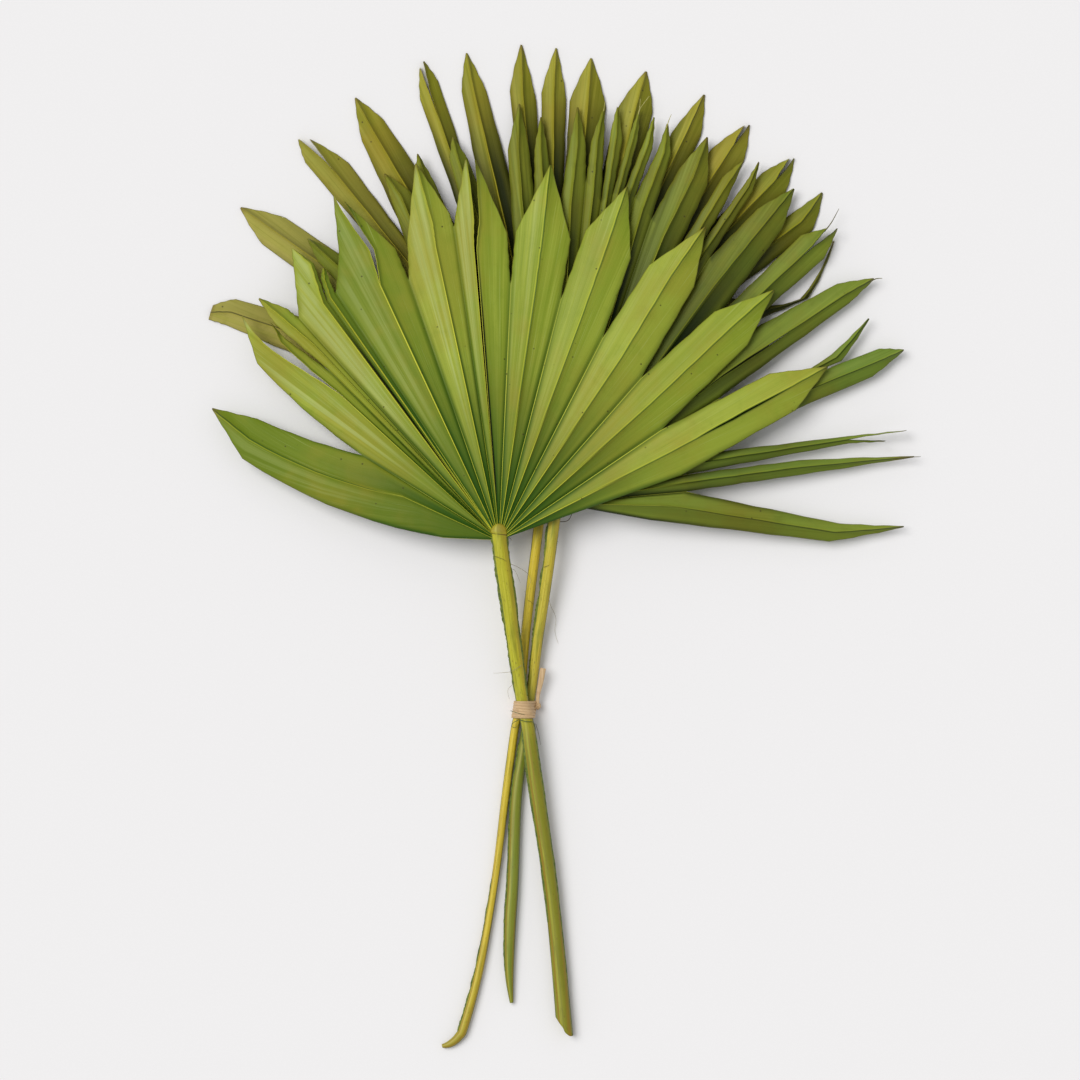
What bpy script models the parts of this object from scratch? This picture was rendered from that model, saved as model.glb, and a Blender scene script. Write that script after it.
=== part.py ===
"""Fan palm leaf: three cut fan leaves laid one on another, with their stalks tied in raffia.

The bunch lies on a surface at z = 0, fans towards +Y and stalks towards -Y, top faces up.
Each blade is one pleated sheet: it is joined near the stalk and split into pointed segments
further out. Lengths are in millimetres and become metres where a mesh is made.
"""
import math
from collections import namedtuple

import bmesh
import bpy
import numpy as np

MM = 0.001
BUNCH_PLACE = (1.74, -1.56, 0.0)   # brings the middle of the whole outline to the origin

# Blades
BLADE_THICKNESS = 0.9
BASE_RADIUS = 5.5            # radius of the arc at the stalk's end where a blade starts
TIP_WIDTH = 1.0
PLEAT_HEIGHT = 5.2           # height that the ridge of a very wide segment would reach
PLEAT_WIDTH_SCALE = 7.0      # segment width at which the ridge reaches half of that height
SECOND_FOLD = 0.11           # share of the height in the shallow fold beside each ridge
SLIT_WIDTH = 1.2
SLIT_OPENING = 1.7           # how late an open slit widens towards its tips
DOME_HEIGHT = 12.0           # the fans arch over the stalks and come down at their tips
DOME_CENTRE = (-2.4, 41.4)
DOME_WIDTH = 210.0
DOME_LENGTH = 258.0
ROWS_JOINED = 5              # rows of faces between the stalk and the splits
ROWS_EDGE = 3                # rows from a split to the widest place
ROWS_TIP = 3                 # rows from the widest place to the tip
ROW_GROWTH = 1.25            # rows are shorter near the stalk

# Stalks
STALK_SIDES = 16
RINGS_PER_PLACE = 2
STALK_MARGIN = 0.88          # below 1 the section has sharper side edges
HASTULA_RADIUS = 5.1         # rounded end of a stalk, inside the arc where its blade starts
HASTULA_RINGS = 5

# Raffia tie
TIE_TOP = -91.2
TIE_BOTTOM = -101.6
TIE_PLACE = (-24.0, -96.4, 0.0)
TIE_GAP = 0.3
TIE_THICKNESS = 0.9
WRAP_COUNT = 6
WRAP_RIDGE = 0.35
TIE_SIDES = 36
KNOT_CENTRE = (-15.2, -94.6, 5.2)
KNOT_RADII = (1.8, 2.0, 2.3)
TAIL_PATH = ((-15.9, -94.0, 5.8), (-15.6, -88.0, 6.6), (-14.0, -80.0, 7.4), (-12.5, -71.6, 8.4))
TAIL_WIDTH = 3.4
TAIL_THICKNESS = 0.8

Segment = namedtuple("Segment", "tip left right split second_tip slit blunt bows ridge")
Leaf = namedtuple("Leaf", "name hastula height cells rounding edge segments")
Stalk = namedtuple("Stalk", "name path cut")


def segment(tip, left, right, split, second_tip=None, slit=None, blunt=TIP_WIDTH,
            bows=(0.0, 0.0), ridge=0.5):
    """One segment, left to right, in millimetres from the leaf's hastula.

    tip is its point and left and right are its widest places. split is where the cut between
    it and the next segment ends. slit holds the distances from the hastula between which its
    ridge is open; a second tip stands to the right of the slit. bows say how far the left and
    the right edge bend to the right on their way to the widest places. ridge is where the
    ridge runs, as a share of the width from the left edge.
    """
    return Segment(tip, left, right, split, second_tip, slit, blunt, bows, ridge)


FRONT_LEAF = Leaf("blade_front", (-39.0, 10.2), 13.0, 3, 0.0, (-33, -3.5), (
    segment((-172, 74), (-154, 44), (-145, 68), (-82, 46), bows=(-7.0, -1.5)),
    segment((-154, 130), (-145, 101), (-128, 116), (-101, 96), (-137, 125), (110, 250),
            bows=(-2.4, 0.0), ridge=0.75),
    segment((-144, 140), (-134, 124), (-127, 134), (-120, 128)),
    segment((-124, 170), (-123, 157), (-111, 161), (-103, 138.5), ridge=0.86),
    segment((-105, 158), (-107, 152), (-101, 150), (-98, 143), blunt=2.0, ridge=0.42),
    segment((-99, 202), (-96, 168), (-62, 170), (-54, 151), (-93, 198), (165, 250),
            ridge=0.61),
    segment((-50, 221), (-55, 175), (-29.5, 191), (-27, 183), ridge=0.6),
    segment((-20, 223), (-26, 191), (5, 179), (7, 148), (-14, 223), (30, 250),
            ridge=0.38),
    segment((31, 220), (10, 180), (43, 175), (37, 139)),
    segment((77, 207), (52, 181), (79, 164), (62, 116)),
    segment((124, 183), (90, 160), (117, 147), (85, 92)),
    segment((165, 145), (129, 132), (149, 112), (97, 61)),
    segment((197, 99), (162, 95), (178, 73), (109, 34), slit=(130, 195)),
))
MIDDLE_LEAF = Leaf("blade_middle", (-4.8, 32.4), 6.9, 2, 0.06, (-45, 8), (
    segment((-106, 45), (-92, 30), (-86, 48), (-70, 42)),
    segment((-146, 104), (-128, 80), (-122, 100), (-82, 76)),
    segment((-149, 154), (-143, 140), (-130, 145), (-71, 97)),
    segment((-103, 193), (-99, 177), (-87, 182), (-53, 113)),
    segment((-83, 205), (-84, 194), (-73, 188), (-41, 118)),
    segment((-62, 215), (-64, 201), (-53, 202), (-24, 128)),
    segment((-22, 235), (-29, 207), (-16, 207), (-13, 180)),
    segment((-9, 227), (-13, 207), (-5, 207), (0, 160)),
    segment((13, 233), (8, 210), (18, 210), (18, 188)),
    segment((29, 233), (21, 212), (29, 213), (27, 175)),
    segment((37, 233), (33, 219), (40, 213), (34, 180)),
    segment((50, 231), (44, 216), (49, 213), (40, 180)),
    segment((59, 227), (53, 213), (58, 208), (47, 178)),
    segment((67, 223), (61, 207), (69, 204), (57, 165)),
    segment((91, 215), (74, 196), (91, 186), (72, 145)),
    segment((113, 201), (100, 191), (101, 174), (87, 150)),
    segment((122, 200), (114, 188), (118, 182), (92, 142)),
    segment((143, 184), (121, 172), (136, 160), (98, 108)),
    segment((163, 160), (147, 156), (161, 142), (104, 92), (169, 160.5), (214, 250)),
    segment((191, 130), (169, 127), (176, 115), (97, 57.5), slit=(110, 170), ridge=0.6),
    segment((188, 106), (165.5, 84.5), (171.5, 80.5), (96, 50), bows=(5.0, 0.0)),
    segment((209, 87), (194, 88), (190, 71), (80, 24)),
    segment((211, 38), (176, 35.5), (176, 31), (76, 12), (197, 33), (182, 250), 2.0),
    segment((215, 23), (146, 21), (140, 11), (78, 2)),
    segment((209, -19), (170, -17), (164, -28), (56, -15)),
))
BACK_LEAF = Leaf("blade_back", (-9.6, 71.4), 0.9, 2, 0.12, (-130, 36), (
    segment((-203, 71), (-193, 63), (-188, 79), (-90, 52), blunt=9.0),
    segment((-185, 134), (-172, 112), (-158, 128), (-66, 66)),
    segment((-150, 175), (-146, 161), (-120, 161), (-84, 113), (-143, 175), (205, 250)),
    segment((-116, 200), (-112, 174), (-99, 187), (-45, 108)),
    segment((-77, 218), (-77, 199), (-66, 210), (-37, 125), (-75, 222), (205, 250)),
    segment((-49, 227), (-52, 204), (-37, 204), (-14, 120)),
    segment((-16, 232), (-23, 204), (-7, 198), (-3, 135)),
    segment((5, 230), (-4, 203), (11, 199), (9, 135)),
    segment((26, 224), (13, 198), (35, 194), (27, 132)),
    segment((59, 216), (42, 194), (63, 191), (47, 127)),
    segment((94, 202), (75, 180), (92, 177), (65, 118)),
    segment((118, 183), (98, 169), (118, 162), (82, 107), (121, 184), (205, 250)),
    segment((145, 163), (129, 155), (143, 143), (96, 95), (148, 164), (205, 250)),
    segment((165, 143), (146, 130), (159, 120), (108, 81)),
    segment((172, 114), (151.5, 79), (156.5, 79.5), (112, 60), bows=(5.0, 0.0)),
    segment((133, 51), (118, 54), (120, 38), (90, 22)),
))
LEAVES = (FRONT_LEAF, MIDDLE_LEAF, BACK_LEAF)

# Each place on a stalk: x, y, height of its middle, half width, half height. The last number
# is how far the end is cut aslant, as a share of the width; below 0 its right side is longer.
FRONT_STALK = Stalk("stalk_front", (
    (-39.0, 10.2, 23.8, 4.7, 3.2), (-37.2, -5.0, 22.4, 4.6, 3.3), (-33.8, -28.0, 19.4, 4.5, 3.3),
    (-30.3, -54.6, 15.6, 4.2, 3.3), (-27.3, -76.0, 12.6, 4.0, 3.3), (-25.0, -91.0, 11.0, 3.9, 3.3),
    (-23.2, -99.0, 10.9, 3.9, 3.3), (-21.6, -107.0, 11.1, 4.1, 3.3), (-19.8, -121.0, 11.1, 4.5, 3.4),
    (-15.6, -150.6, 9.7, 4.6, 3.5), (-8.6, -198.6, 7.4, 4.3, 3.6), (-4.0, -240.6, 5.6, 4.5, 3.8),
    (0.2, -287.0, 4.6, 4.9, 4.2)), -1.3)
MIDDLE_STALK = Stalk("stalk_middle", (
    (-4.8, 32.4, 18.2, 3.8, 2.9), (-6.0, 16.0, 16.2, 3.6, 3.0), (-9.2, -10.0, 13.2, 3.4, 3.0),
    (-13.2, -38.0, 9.8, 3.3, 3.0), (-16.2, -58.0, 7.2, 3.2, 3.0), (-18.6, -78.6, 5.0, 3.0, 2.9),
    (-20.3, -91.0, 4.15, 2.9, 2.9), (-21.5, -100.0, 4.1, 2.9, 2.9), (-22.6, -107.0, 4.1, 2.9, 2.9),
    (-24.6, -121.0, 4.1, 3.2, 3.0), (-28.8, -150.6, 4.1, 3.5, 3.1), (-30.8, -198.6, 4.0, 3.7, 3.1),
    (-32.4, -224.0, 3.8, 3.8, 3.0), (-33.0, -247.6, 3.3, 3.1, 2.6), (-32.6, -260.9, 2.9, 2.3, 2.1),
    (-31.5, -273.0, 2.3, 1.1, 1.3)), 0.0)
BACK_STALK = Stalk("stalk_back", (
    (-9.6, 71.4, 12.4, 3.4, 2.6), (-12.0, 46.0, 11.2, 3.2, 2.7), (-15.2, 13.8, 9.4, 3.1, 2.7),
    (-19.4, -20.0, 7.6, 3.0, 2.7), (-22.9, -50.0, 5.6, 2.9, 2.7), (-25.2, -78.6, 4.1, 2.6, 2.6),
    (-26.2, -91.0, 3.75, 2.5, 2.5), (-27.6, -100.0, 3.7, 2.5, 2.5), (-29.3, -107.0, 3.7, 2.5, 2.5),
    (-31.4, -121.0, 3.6, 2.5, 2.5), (-35.4, -150.6, 3.4, 2.4, 2.5), (-41.4, -198.6, 3.1, 2.3, 2.5),
    (-50.3, -250.0, 3.0, 2.6, 2.4), (-59.8, -286.0, 3.0, 2.9, 2.4), (-63.4, -293.4, 2.8, 2.7, 2.2),
    (-68.4, -297.6, 2.4, 2.2, 1.8), (-73.2, -299.1, 1.9, 1.2, 1.3)), 0.0)
STALKS = (FRONT_STALK, MIDDLE_STALK, BACK_STALK)

COLOURS = {
    "blade_front": (0.29, 0.40, 0.06, 1.0),
    "blade_middle": (0.15, 0.22, 0.03, 1.0),
    "blade_back": (0.26, 0.28, 0.04, 1.0),
    "stalk_front": (0.44, 0.46, 0.04, 1.0),
    "stalk_middle": (0.40, 0.40, 0.04, 1.0),
    "stalk_back": (0.38, 0.38, 0.04, 1.0),
    "raffia_tie": (0.66, 0.48, 0.28, 1.0),
}


def clear_scene():
    for old in list(bpy.data.objects):
        bpy.data.objects.remove(old, do_unlink=True)


def collection(name):
    made = bpy.data.collections.new(name)
    bpy.context.scene.collection.children.link(made)
    return made


def material(name):
    made = bpy.data.materials.new(name)
    made.use_nodes = True
    shader = made.node_tree.nodes["Principled BSDF"]
    shader.inputs["Base Color"].default_value = COLOURS[name]
    shader.inputs["Roughness"].default_value = 0.55
    return made


def mesh_object(name, points, faces, place, bunch):
    """An object at its own place in the bunch, with a mesh made from points of the bunch."""
    mesh = bpy.data.meshes.new(name)
    own = (np.asarray(points, float) - np.asarray(place, float)) * MM
    mesh.from_pydata(own.tolist(), [], faces)
    made = bpy.data.objects.new(name, mesh)
    made.data.materials.append(material(name))
    made.location = [value * MM for value in place]
    made.parent = bunch
    bunch.users_collection[0].objects.link(made)
    return made


def between(first, second, share):
    return np.asarray(first, float) * (1.0 - share) + np.asarray(second, float) * share


def dome(x, y):
    """Height of the arched fans over the surface."""
    across = (x - DOME_CENTRE[0]) / DOME_WIDTH
    along = (y - DOME_CENTRE[1]) / DOME_LENGTH
    reach = min(math.hypot(across, along), 1.0)
    return DOME_HEIGHT * math.cos(0.5 * math.pi * reach) ** 2


def edge_line(split, corner, tip, bow, rounding):
    """Points of one edge line of a segment, from the base arc to the tip."""
    split = np.asarray(split, float)
    corner = np.asarray(corner, float)
    tip = np.asarray(tip, float)
    reach = np.linalg.norm(split)
    points = []
    for row in range(ROWS_JOINED + 1):
        share = (row / ROWS_JOINED) ** ROW_GROWTH
        points.append(split / reach * (BASE_RADIUS + (reach - BASE_RADIUS) * share))
    outward = (corner - split) / np.linalg.norm(corner - split)
    sideways = np.array((outward[1], -outward[0]))
    for row in range(1, ROWS_EDGE + 1):
        share = row / ROWS_EDGE
        bend = 4.0 * bow * share * (1.0 - share)
        points.append(between(split, corner, share) + sideways * bend)
    to_tip = tip - corner
    turn = outward - to_tip / np.linalg.norm(to_tip)
    handle = corner + to_tip / 2 + turn * rounding * np.linalg.norm(to_tip)
    for row in range(1, ROWS_TIP + 1):
        share = row / ROWS_TIP
        points.append(between(between(corner, handle, share), between(handle, tip, share), share))
    return points


def ridge_share(piece, row):
    """Where the ridge runs at one row, as a share of the width; it ends in the middle."""
    to_tip = max(row - ROWS_JOINED - ROWS_EDGE, 0) / ROWS_TIP
    return piece.ridge + (0.5 - piece.ridge) * to_tip


def slit_gap(piece, row, rows, distance, start_row):
    """Width of the slit along a segment's ridge at one row."""
    if piece.slit is None or distance <= piece.slit[0]:
        return 0.0
    if piece.second_tip is None:
        share = (distance - piece.slit[0]) / (piece.slit[1] - piece.slit[0])
        return SLIT_WIDTH * math.sin(math.pi * share) if share < 1.0 else 0.0
    full = math.dist(piece.tip, piece.second_tip) - piece.blunt
    share = (row - start_row) / (rows - start_row)
    return SLIT_WIDTH * min(1.0, 3.0 * share) + max(full - SLIT_WIDTH, 0.0) * share ** SLIT_OPENING


def segment_rows(piece, left_split, rounding):
    """Rows of one segment: left edge, left and right side of the ridge, right edge."""
    side = np.subtract(piece.right, piece.left).astype(float)
    side /= np.linalg.norm(side)
    last_tip = piece.second_tip or piece.tip
    left_end = np.asarray(piece.tip) - side * piece.blunt / 2
    right_end = np.asarray(last_tip) + side * piece.blunt / 2
    left = edge_line(left_split, piece.left, left_end, piece.bows[0], rounding)
    right = edge_line(piece.split, piece.right, right_end, piece.bows[1], rounding)
    ridge = [between(a, b, ridge_share(piece, row)) for row, (a, b) in enumerate(zip(left, right))]
    last = len(ridge) - 1
    open_rows = [row for row, place in enumerate(ridge)
                 if piece.slit and np.linalg.norm(place) > piece.slit[0]]
    start_row = open_rows[0] - 1 if open_rows else last
    rows = []
    for row, (a, middle, b) in enumerate(zip(left, ridge, right)):
        gap = slit_gap(piece, row, last, float(np.linalg.norm(middle)), start_row)
        across = b - a
        step = across / np.linalg.norm(across) * gap / 2
        rows.append((a, middle - step, middle + step, b))
    return rows


def pleat(width, share):
    """Height of the pleated sheet over its valleys; share is 0 in a valley and 1 on a ridge."""
    height = PLEAT_HEIGHT * width / (width + PLEAT_WIDTH_SCALE)
    return height * (share + SECOND_FOLD * math.sin(2.0 * math.pi * share))


def blade_surface(leaf):
    """Top face of a blade: points in millimetres and triangles."""
    points = []
    index = {}
    triangles = []

    def vertex(key, place, width, share):
        if key not in index:
            x = leaf.hastula[0] + place[0]
            y = leaf.hastula[1] + place[1]
            index[key] = len(points)
            points.append((x, y, dome(x, y) + leaf.height + pleat(width, share)))
        return index[key]

    left_split = leaf.edge
    for number, piece in enumerate(leaf.segments):
        rows = segment_rows(piece, left_split, leaf.rounding)
        halves = ([], [])
        for row, (a, ridge_left, ridge_right, b) in enumerate(rows):
            width = float(np.linalg.norm(b - a))
            joined = row <= ROWS_JOINED
            opened = not np.allclose(ridge_left, ridge_right)
            left_key = ("valley", number, row) if joined else ("left", number, row)
            right_key = ("valley", number + 1, row) if joined else ("right", number, row)
            ridge_keys = [("ridge", number, row, side if opened else 0) for side in (0, 1)]
            ends = ((a, left_key, ridge_left, ridge_keys[0]), (b, right_key, ridge_right, ridge_keys[1]))
            for side, (edge, edge_key, ridge, ridge_key) in enumerate(ends):
                line = [vertex(edge_key, edge, width, 0.0)]
                for cell in range(1, leaf.cells):
                    share = cell / leaf.cells
                    key = ("between", number, row, side, cell)
                    line.append(vertex(key, between(edge, ridge, share), width, share))
                line.append(vertex(ridge_key, ridge, width, 1.0))
                halves[side].append(line if side == 0 else line[::-1])
        for grid in halves:
            for near, far in zip(grid, grid[1:]):
                for cell in range(leaf.cells):
                    triangles.append((near[cell], near[cell + 1], far[cell + 1]))
                    triangles.append((near[cell], far[cell + 1], far[cell]))
        left_split = piece.split
    return points, triangles


def thickened(points, triangles):
    """Closes a sheet into a solid: the same triangles again below, and a rim between."""
    count = len(points)
    below = [(x, y, z - BLADE_THICKNESS) for x, y, z in points]
    faces = list(triangles) + [(c + count, b + count, a + count) for a, b, c in triangles]
    sides = {(t[i], t[(i + 1) % 3]) for t in triangles for i in range(3)}
    for a, b in sides:
        if (b, a) not in sides:
            faces.append((b, a, a + count))
            faces.append((b, a + count, b + count))
    return points + below, faces


def curve_point(path, place):
    """Smooth curve through the rows of a path; place counts them from 0."""
    rows = np.asarray(path, float)
    start = min(int(place), len(rows) - 2)
    t = place - start
    near = rows[max(start - 1, 0)]
    far = rows[min(start + 2, len(rows) - 1)]
    a, b = rows[start], rows[start + 1]
    return 0.5 * (2 * a + (b - near) * t + (2 * near - 5 * a + 4 * b - far) * t ** 2
                  + (3 * a - near - 3 * b + far) * t ** 3)


def stalk_section(half_width, half_height, sides):
    """Section of a stalk with two side edges, as pairs across and up."""
    section = []
    for side in range(sides):
        angle = 2.0 * math.pi * side / sides
        across = math.copysign(abs(math.cos(angle)) ** STALK_MARGIN, math.cos(angle))
        up = math.copysign(abs(math.sin(angle)) ** (2.0 - STALK_MARGIN), math.sin(angle))
        section.append((half_width * across, half_height * up))
    return section


def stalk_rings(stalk):
    """Rings of a stalk from its rounded end inside the blade down to its cut end."""
    last = len(stalk.path) - 1
    places = [ring / RINGS_PER_PLACE for ring in range(last * RINGS_PER_PLACE + 1)]
    middles = [curve_point(stalk.path, place) for place in places]
    rings = []
    start = middles[0][:3]
    forward = start - middles[1][:3]
    forward[2] = 0.0
    forward /= np.linalg.norm(forward)
    for ring in range(HASTULA_RINGS):
        turn = 0.5 * math.pi * (HASTULA_RINGS - ring - 0.55) / HASTULA_RINGS
        reach = HASTULA_RADIUS * math.sin(turn)
        shrink = math.cos(turn)
        rings.append((start + forward * reach, forward, HASTULA_RADIUS * shrink,
                      middles[0][4] * (0.45 + 0.55 * shrink), 0.0))
    for number, middle in enumerate(middles):
        before = middles[max(number - 1, 0)][:3]
        after = middles[min(number + 1, len(middles) - 1)][:3]
        tangent = (before - after) / np.linalg.norm(before - after)
        slant = stalk.cut if number == len(middles) - 1 else 0.0
        rings.append((middle[:3], tangent, middle[3], middle[4], slant))
    return rings


def stalk_solid(stalk, bunch):
    points = []
    faces = []
    rings = stalk_rings(stalk)
    for centre, tangent, half_width, half_height, slant in rings:
        side = np.array((tangent[1], -tangent[0], 0.0))
        side /= np.linalg.norm(side)
        up = np.cross(side, tangent)
        for across, rise in stalk_section(half_width, half_height, STALK_SIDES):
            points.append(centre + side * across + up * rise + tangent * slant * across)
    for ring in range(len(rings) - 1):
        for side in range(STALK_SIDES):
            after = (side + 1) % STALK_SIDES
            a = ring * STALK_SIDES + side
            b = ring * STALK_SIDES + after
            faces.append((a, b, b + STALK_SIDES, a + STALK_SIDES))
    faces.append(tuple(reversed(range(STALK_SIDES))))
    last = len(points) - STALK_SIDES
    faces.append(tuple(range(last, last + STALK_SIDES)))
    return mesh_object(stalk.name, points, faces, stalk.path[0][:3], bunch)


def stalk_outline_at(stalk, y):
    """Points of a stalk's section where it crosses the plane of one y, as pairs x and z."""
    low, high = 0.0, float(len(stalk.path) - 1)
    for _ in range(40):
        middle = (low + high) / 2
        if curve_point(stalk.path, middle)[1] > y:
            low = middle
        else:
            high = middle
    x, _, z, half_width, half_height = curve_point(stalk.path, low)
    return [(x + a, z + b) for a, b in stalk_section(half_width, half_height, 4 * STALK_SIDES)]


def tie_loop(y, offset):
    """Closed loop drawn tight round the three stalks at one y, held off them by offset."""
    outline = np.array([point for stalk in STALKS for point in stalk_outline_at(stalk, y)])
    step = 2.0 * math.pi / TIE_SIDES
    reaches = []
    for side in range(TIE_SIDES):
        normal = (math.cos(side * step), math.sin(side * step))
        reaches.append(float((outline @ normal).max()) + offset)
    loop = []
    for side in range(TIE_SIDES):
        here, after = reaches[side], reaches[(side + 1) % TIE_SIDES]
        along = (after - here * math.cos(step)) / math.sin(step)
        angle = side * step
        x = here * math.cos(angle) - along * math.sin(angle)
        z = here * math.sin(angle) + along * math.cos(angle)
        loop.append((x, y, max(z, 0.0)))
    return loop


def band_solid(bunch):
    """The wound band: a ridged outside, a plain inside and a floor pressed flat."""
    steps = 2 * WRAP_COUNT
    loops = []
    for step in range(steps + 1):
        y = TIE_TOP + (TIE_BOTTOM - TIE_TOP) * step / steps
        ridge = WRAP_RIDGE if step % 2 else 0.0
        loops.append(tie_loop(y, TIE_GAP + TIE_THICKNESS + ridge))
    for step in (4, 3, 2, 1, 0):
        loops.append(tie_loop(TIE_TOP + (TIE_BOTTOM - TIE_TOP) * step / 4, TIE_GAP))
    points = [point for loop in loops for point in loop]
    faces = []
    for number in range(len(loops)):
        near = number * TIE_SIDES
        far = (number + 1) % len(loops) * TIE_SIDES
        for side in range(TIE_SIDES):
            after = (side + 1) % TIE_SIDES
            faces.append((near + side, near + after, far + after, far + side))
    return mesh_object("raffia_tie", points, faces, TIE_PLACE, bunch)


def knot_solid(bunch):
    made = bmesh.new()
    bmesh.ops.create_icosphere(made, subdivisions=2, radius=1.0)
    points = []
    for vertex in made.verts:
        shift = [radius * part for radius, part in zip(KNOT_RADII, vertex.co)]
        points.append([middle + part for middle, part in zip(KNOT_CENTRE, shift)])
    faces = [tuple(vertex.index for vertex in face.verts) for face in made.faces]
    made.free()
    return mesh_object("raffia_tie", points, faces, TIE_PLACE, bunch)


def tail_solid(bunch):
    """The flat end of the raffia, from the knot up along the stalk beside it."""
    half = TAIL_WIDTH / 2
    points = []
    for number, (x, y, z) in enumerate(TAIL_PATH):
        reach = half * (0.6 if number < 2 else 1.0)
        for across, rise in ((-1, -1), (1, -1), (1, 1), (-1, 1)):
            points.append((x + reach * across, y - 0.5 * across, z + rise * TAIL_THICKNESS / 2))
    faces = [(0, 1, 2, 3), tuple(len(points) - 4 + side for side in (3, 2, 1, 0))]
    for ring in range(len(TAIL_PATH) - 1):
        for side in range(4):
            a = 4 * ring + side
            b = 4 * ring + (side + 1) % 4
            faces.append((b, a, a + 4, b + 4))
    return mesh_object("raffia_tie", points, faces, TIE_PLACE, bunch)


def face_out(made):
    work = bmesh.new()
    work.from_mesh(made.data)
    bmesh.ops.recalc_face_normals(work, faces=work.faces)
    work.to_mesh(made.data)
    work.free()


def join_solids(base, others):
    """Fuses the other solids into the base and removes them."""
    for other in others:
        change = base.modifiers.new("fuse", "BOOLEAN")
        change.operation = "UNION"
        change.solver = "EXACT"
        change.object = other
        fused = bpy.data.meshes.new_from_object(
            base.evaluated_get(bpy.context.evaluated_depsgraph_get()))
        base.modifiers.remove(change)
        base.data = fused
        bpy.data.objects.remove(other, do_unlink=True)


def main():
    clear_scene()
    bunch = bpy.data.objects.new("fan_palm_leaf", None)
    bunch.location = [value * MM for value in BUNCH_PLACE]
    collection("parts").objects.link(bunch)
    for leaf in LEAVES:
        points, faces = thickened(*blade_surface(leaf))
        mesh_object(leaf.name, points, faces, (*leaf.hastula, 0.0), bunch)
    for stalk in STALKS:
        face_out(stalk_solid(stalk, bunch))
    band = band_solid(bunch)
    others = [knot_solid(bunch), tail_solid(bunch)]
    for made in [band] + others:
        face_out(made)
    bpy.context.view_layer.update()
    join_solids(band, others)


main()
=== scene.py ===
"""Looks of the tied fan palm leaves: fine blades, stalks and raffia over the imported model.

Lengths are in millimetres until a mesh is made. The blades, stalks and band follow the same
rules as the solids that they stand for, in finer steps and with ribs, veins and fibres.
"""

import math
from collections import namedtuple

import bpy
import numpy as np
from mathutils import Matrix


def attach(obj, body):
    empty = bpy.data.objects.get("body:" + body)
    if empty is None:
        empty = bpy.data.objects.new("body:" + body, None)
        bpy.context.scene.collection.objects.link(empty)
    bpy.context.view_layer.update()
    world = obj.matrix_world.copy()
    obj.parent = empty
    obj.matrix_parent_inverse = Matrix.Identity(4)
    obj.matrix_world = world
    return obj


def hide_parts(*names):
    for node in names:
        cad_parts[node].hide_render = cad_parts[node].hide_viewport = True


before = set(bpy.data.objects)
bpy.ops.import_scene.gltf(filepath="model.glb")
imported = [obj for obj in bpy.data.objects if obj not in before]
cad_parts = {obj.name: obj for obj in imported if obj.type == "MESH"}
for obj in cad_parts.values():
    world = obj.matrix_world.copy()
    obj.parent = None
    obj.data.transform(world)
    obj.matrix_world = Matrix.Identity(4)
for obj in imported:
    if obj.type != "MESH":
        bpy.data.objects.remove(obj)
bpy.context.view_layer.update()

MM = 0.001
BUNCH_PLACE = np.array((1.74, -1.56, 0.0))
SEED = 7
PATH_STEP = 0.05             # a curve's direction is taken over this much to either side

# Blades
BLADE_THICKNESS = 0.6
FAN_CENTRE = (0.0, -5.0)      # where a fan's folds meet, from its hastula
BASE_RADIUS = 3.0
TIP_WIDTH = 1.0
PLEAT_HEIGHT = 5.2
PLEAT_WIDTH_SCALE = 7.0
SECOND_FOLD = 0.13           # the small folds beside the main one, as shares of its height
THIRD_FOLD = 0.035
SLIT_WIDTH = 1.2
SLIT_OPENING = 1.7           # how late a forked tip's slit opens
DOME_HEIGHT = 12.0
DOME_CENTRE = (-2.4, 41.4)
DOME_WIDTH = 210.0
DOME_LENGTH = 258.0
ROWS_JOINED = 18             # rows up to where a segment parts from its neighbour
ROWS_EDGE = 9
ROWS_TIP = 9
ROW_GROWTH = 1.25
ACROSS = (0.0, 0.06, 0.15, 0.27, 0.4, 0.53, 0.66, 0.78, 0.88, 0.94, 0.975, 1.0)
STRAIGHT_BOW = 3.0           # the veins of a segment bowed more than this bend with its rib
RIB_SHARE = 0.965            # the rib is the last part of a half segment, up to its ridge
RIB_HEIGHT = 0.35
RIB_FULL = 12.0              # width of a segment from which its rib has its full height
EDGE_WAVE = 0.25             # unevenness of the free edges
EDGE_TURNS = (2.1, 1.7)      # its turn from row to row, along the edge and along the tip

# Stalks
STALK_SIDES = 48
STALK_RINGS = 150
STALK_MARGIN = 0.88
CUT_LENGTH = 20.0            # length over which the rings turn to a slanted cut
CUT_BULGE = 2.4              # how far the middle of a slanted cut stands out
HASTULA_RADIUS = 5.1
HASTULA_RINGS = 9
HASTULA_FLATNESS = 0.45      # height at the tip of its rounded end, as a share of the stalk's
COLLAR_SWELL = 0.07          # the lip where the stalk meets its blade, as a share of its size
COLLAR_SLANT = 1.4
COLLAR_SPREAD = 2.5          # square of the rings over which the lip falls off
COLLAR_REACH = 0.066         # its place, as a share of the stalk's rings
STALK_GRAIN = 4.0            # radius of the round on which a stalk's grain is drawn
STALK_GROOVE = 0.12          # depth of the long grooves in a dried stalk
GROOVE_COUNT = 9.0
GROOVE_TWIST = 0.03          # shift of the grooves' wave from ring to ring, in radians
FLANGE_THICKNESS = 0.25      # ragged skin along the stalks' sides
FLANGE_STEPS = 130
FLANGE_RAGGED = 0.28         # how much its width may change from step to step
FLANGE_LEAST = 0.05          # its least width, as a share
FLANGE_ROOTS = ((0.8, 0.55), (1.0, 0.25))    # where it leaves the stalk and turns, across and up
FLANGE_LIFT = 0.1            # height of its rim, all as shares of the stalk's half section

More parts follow.
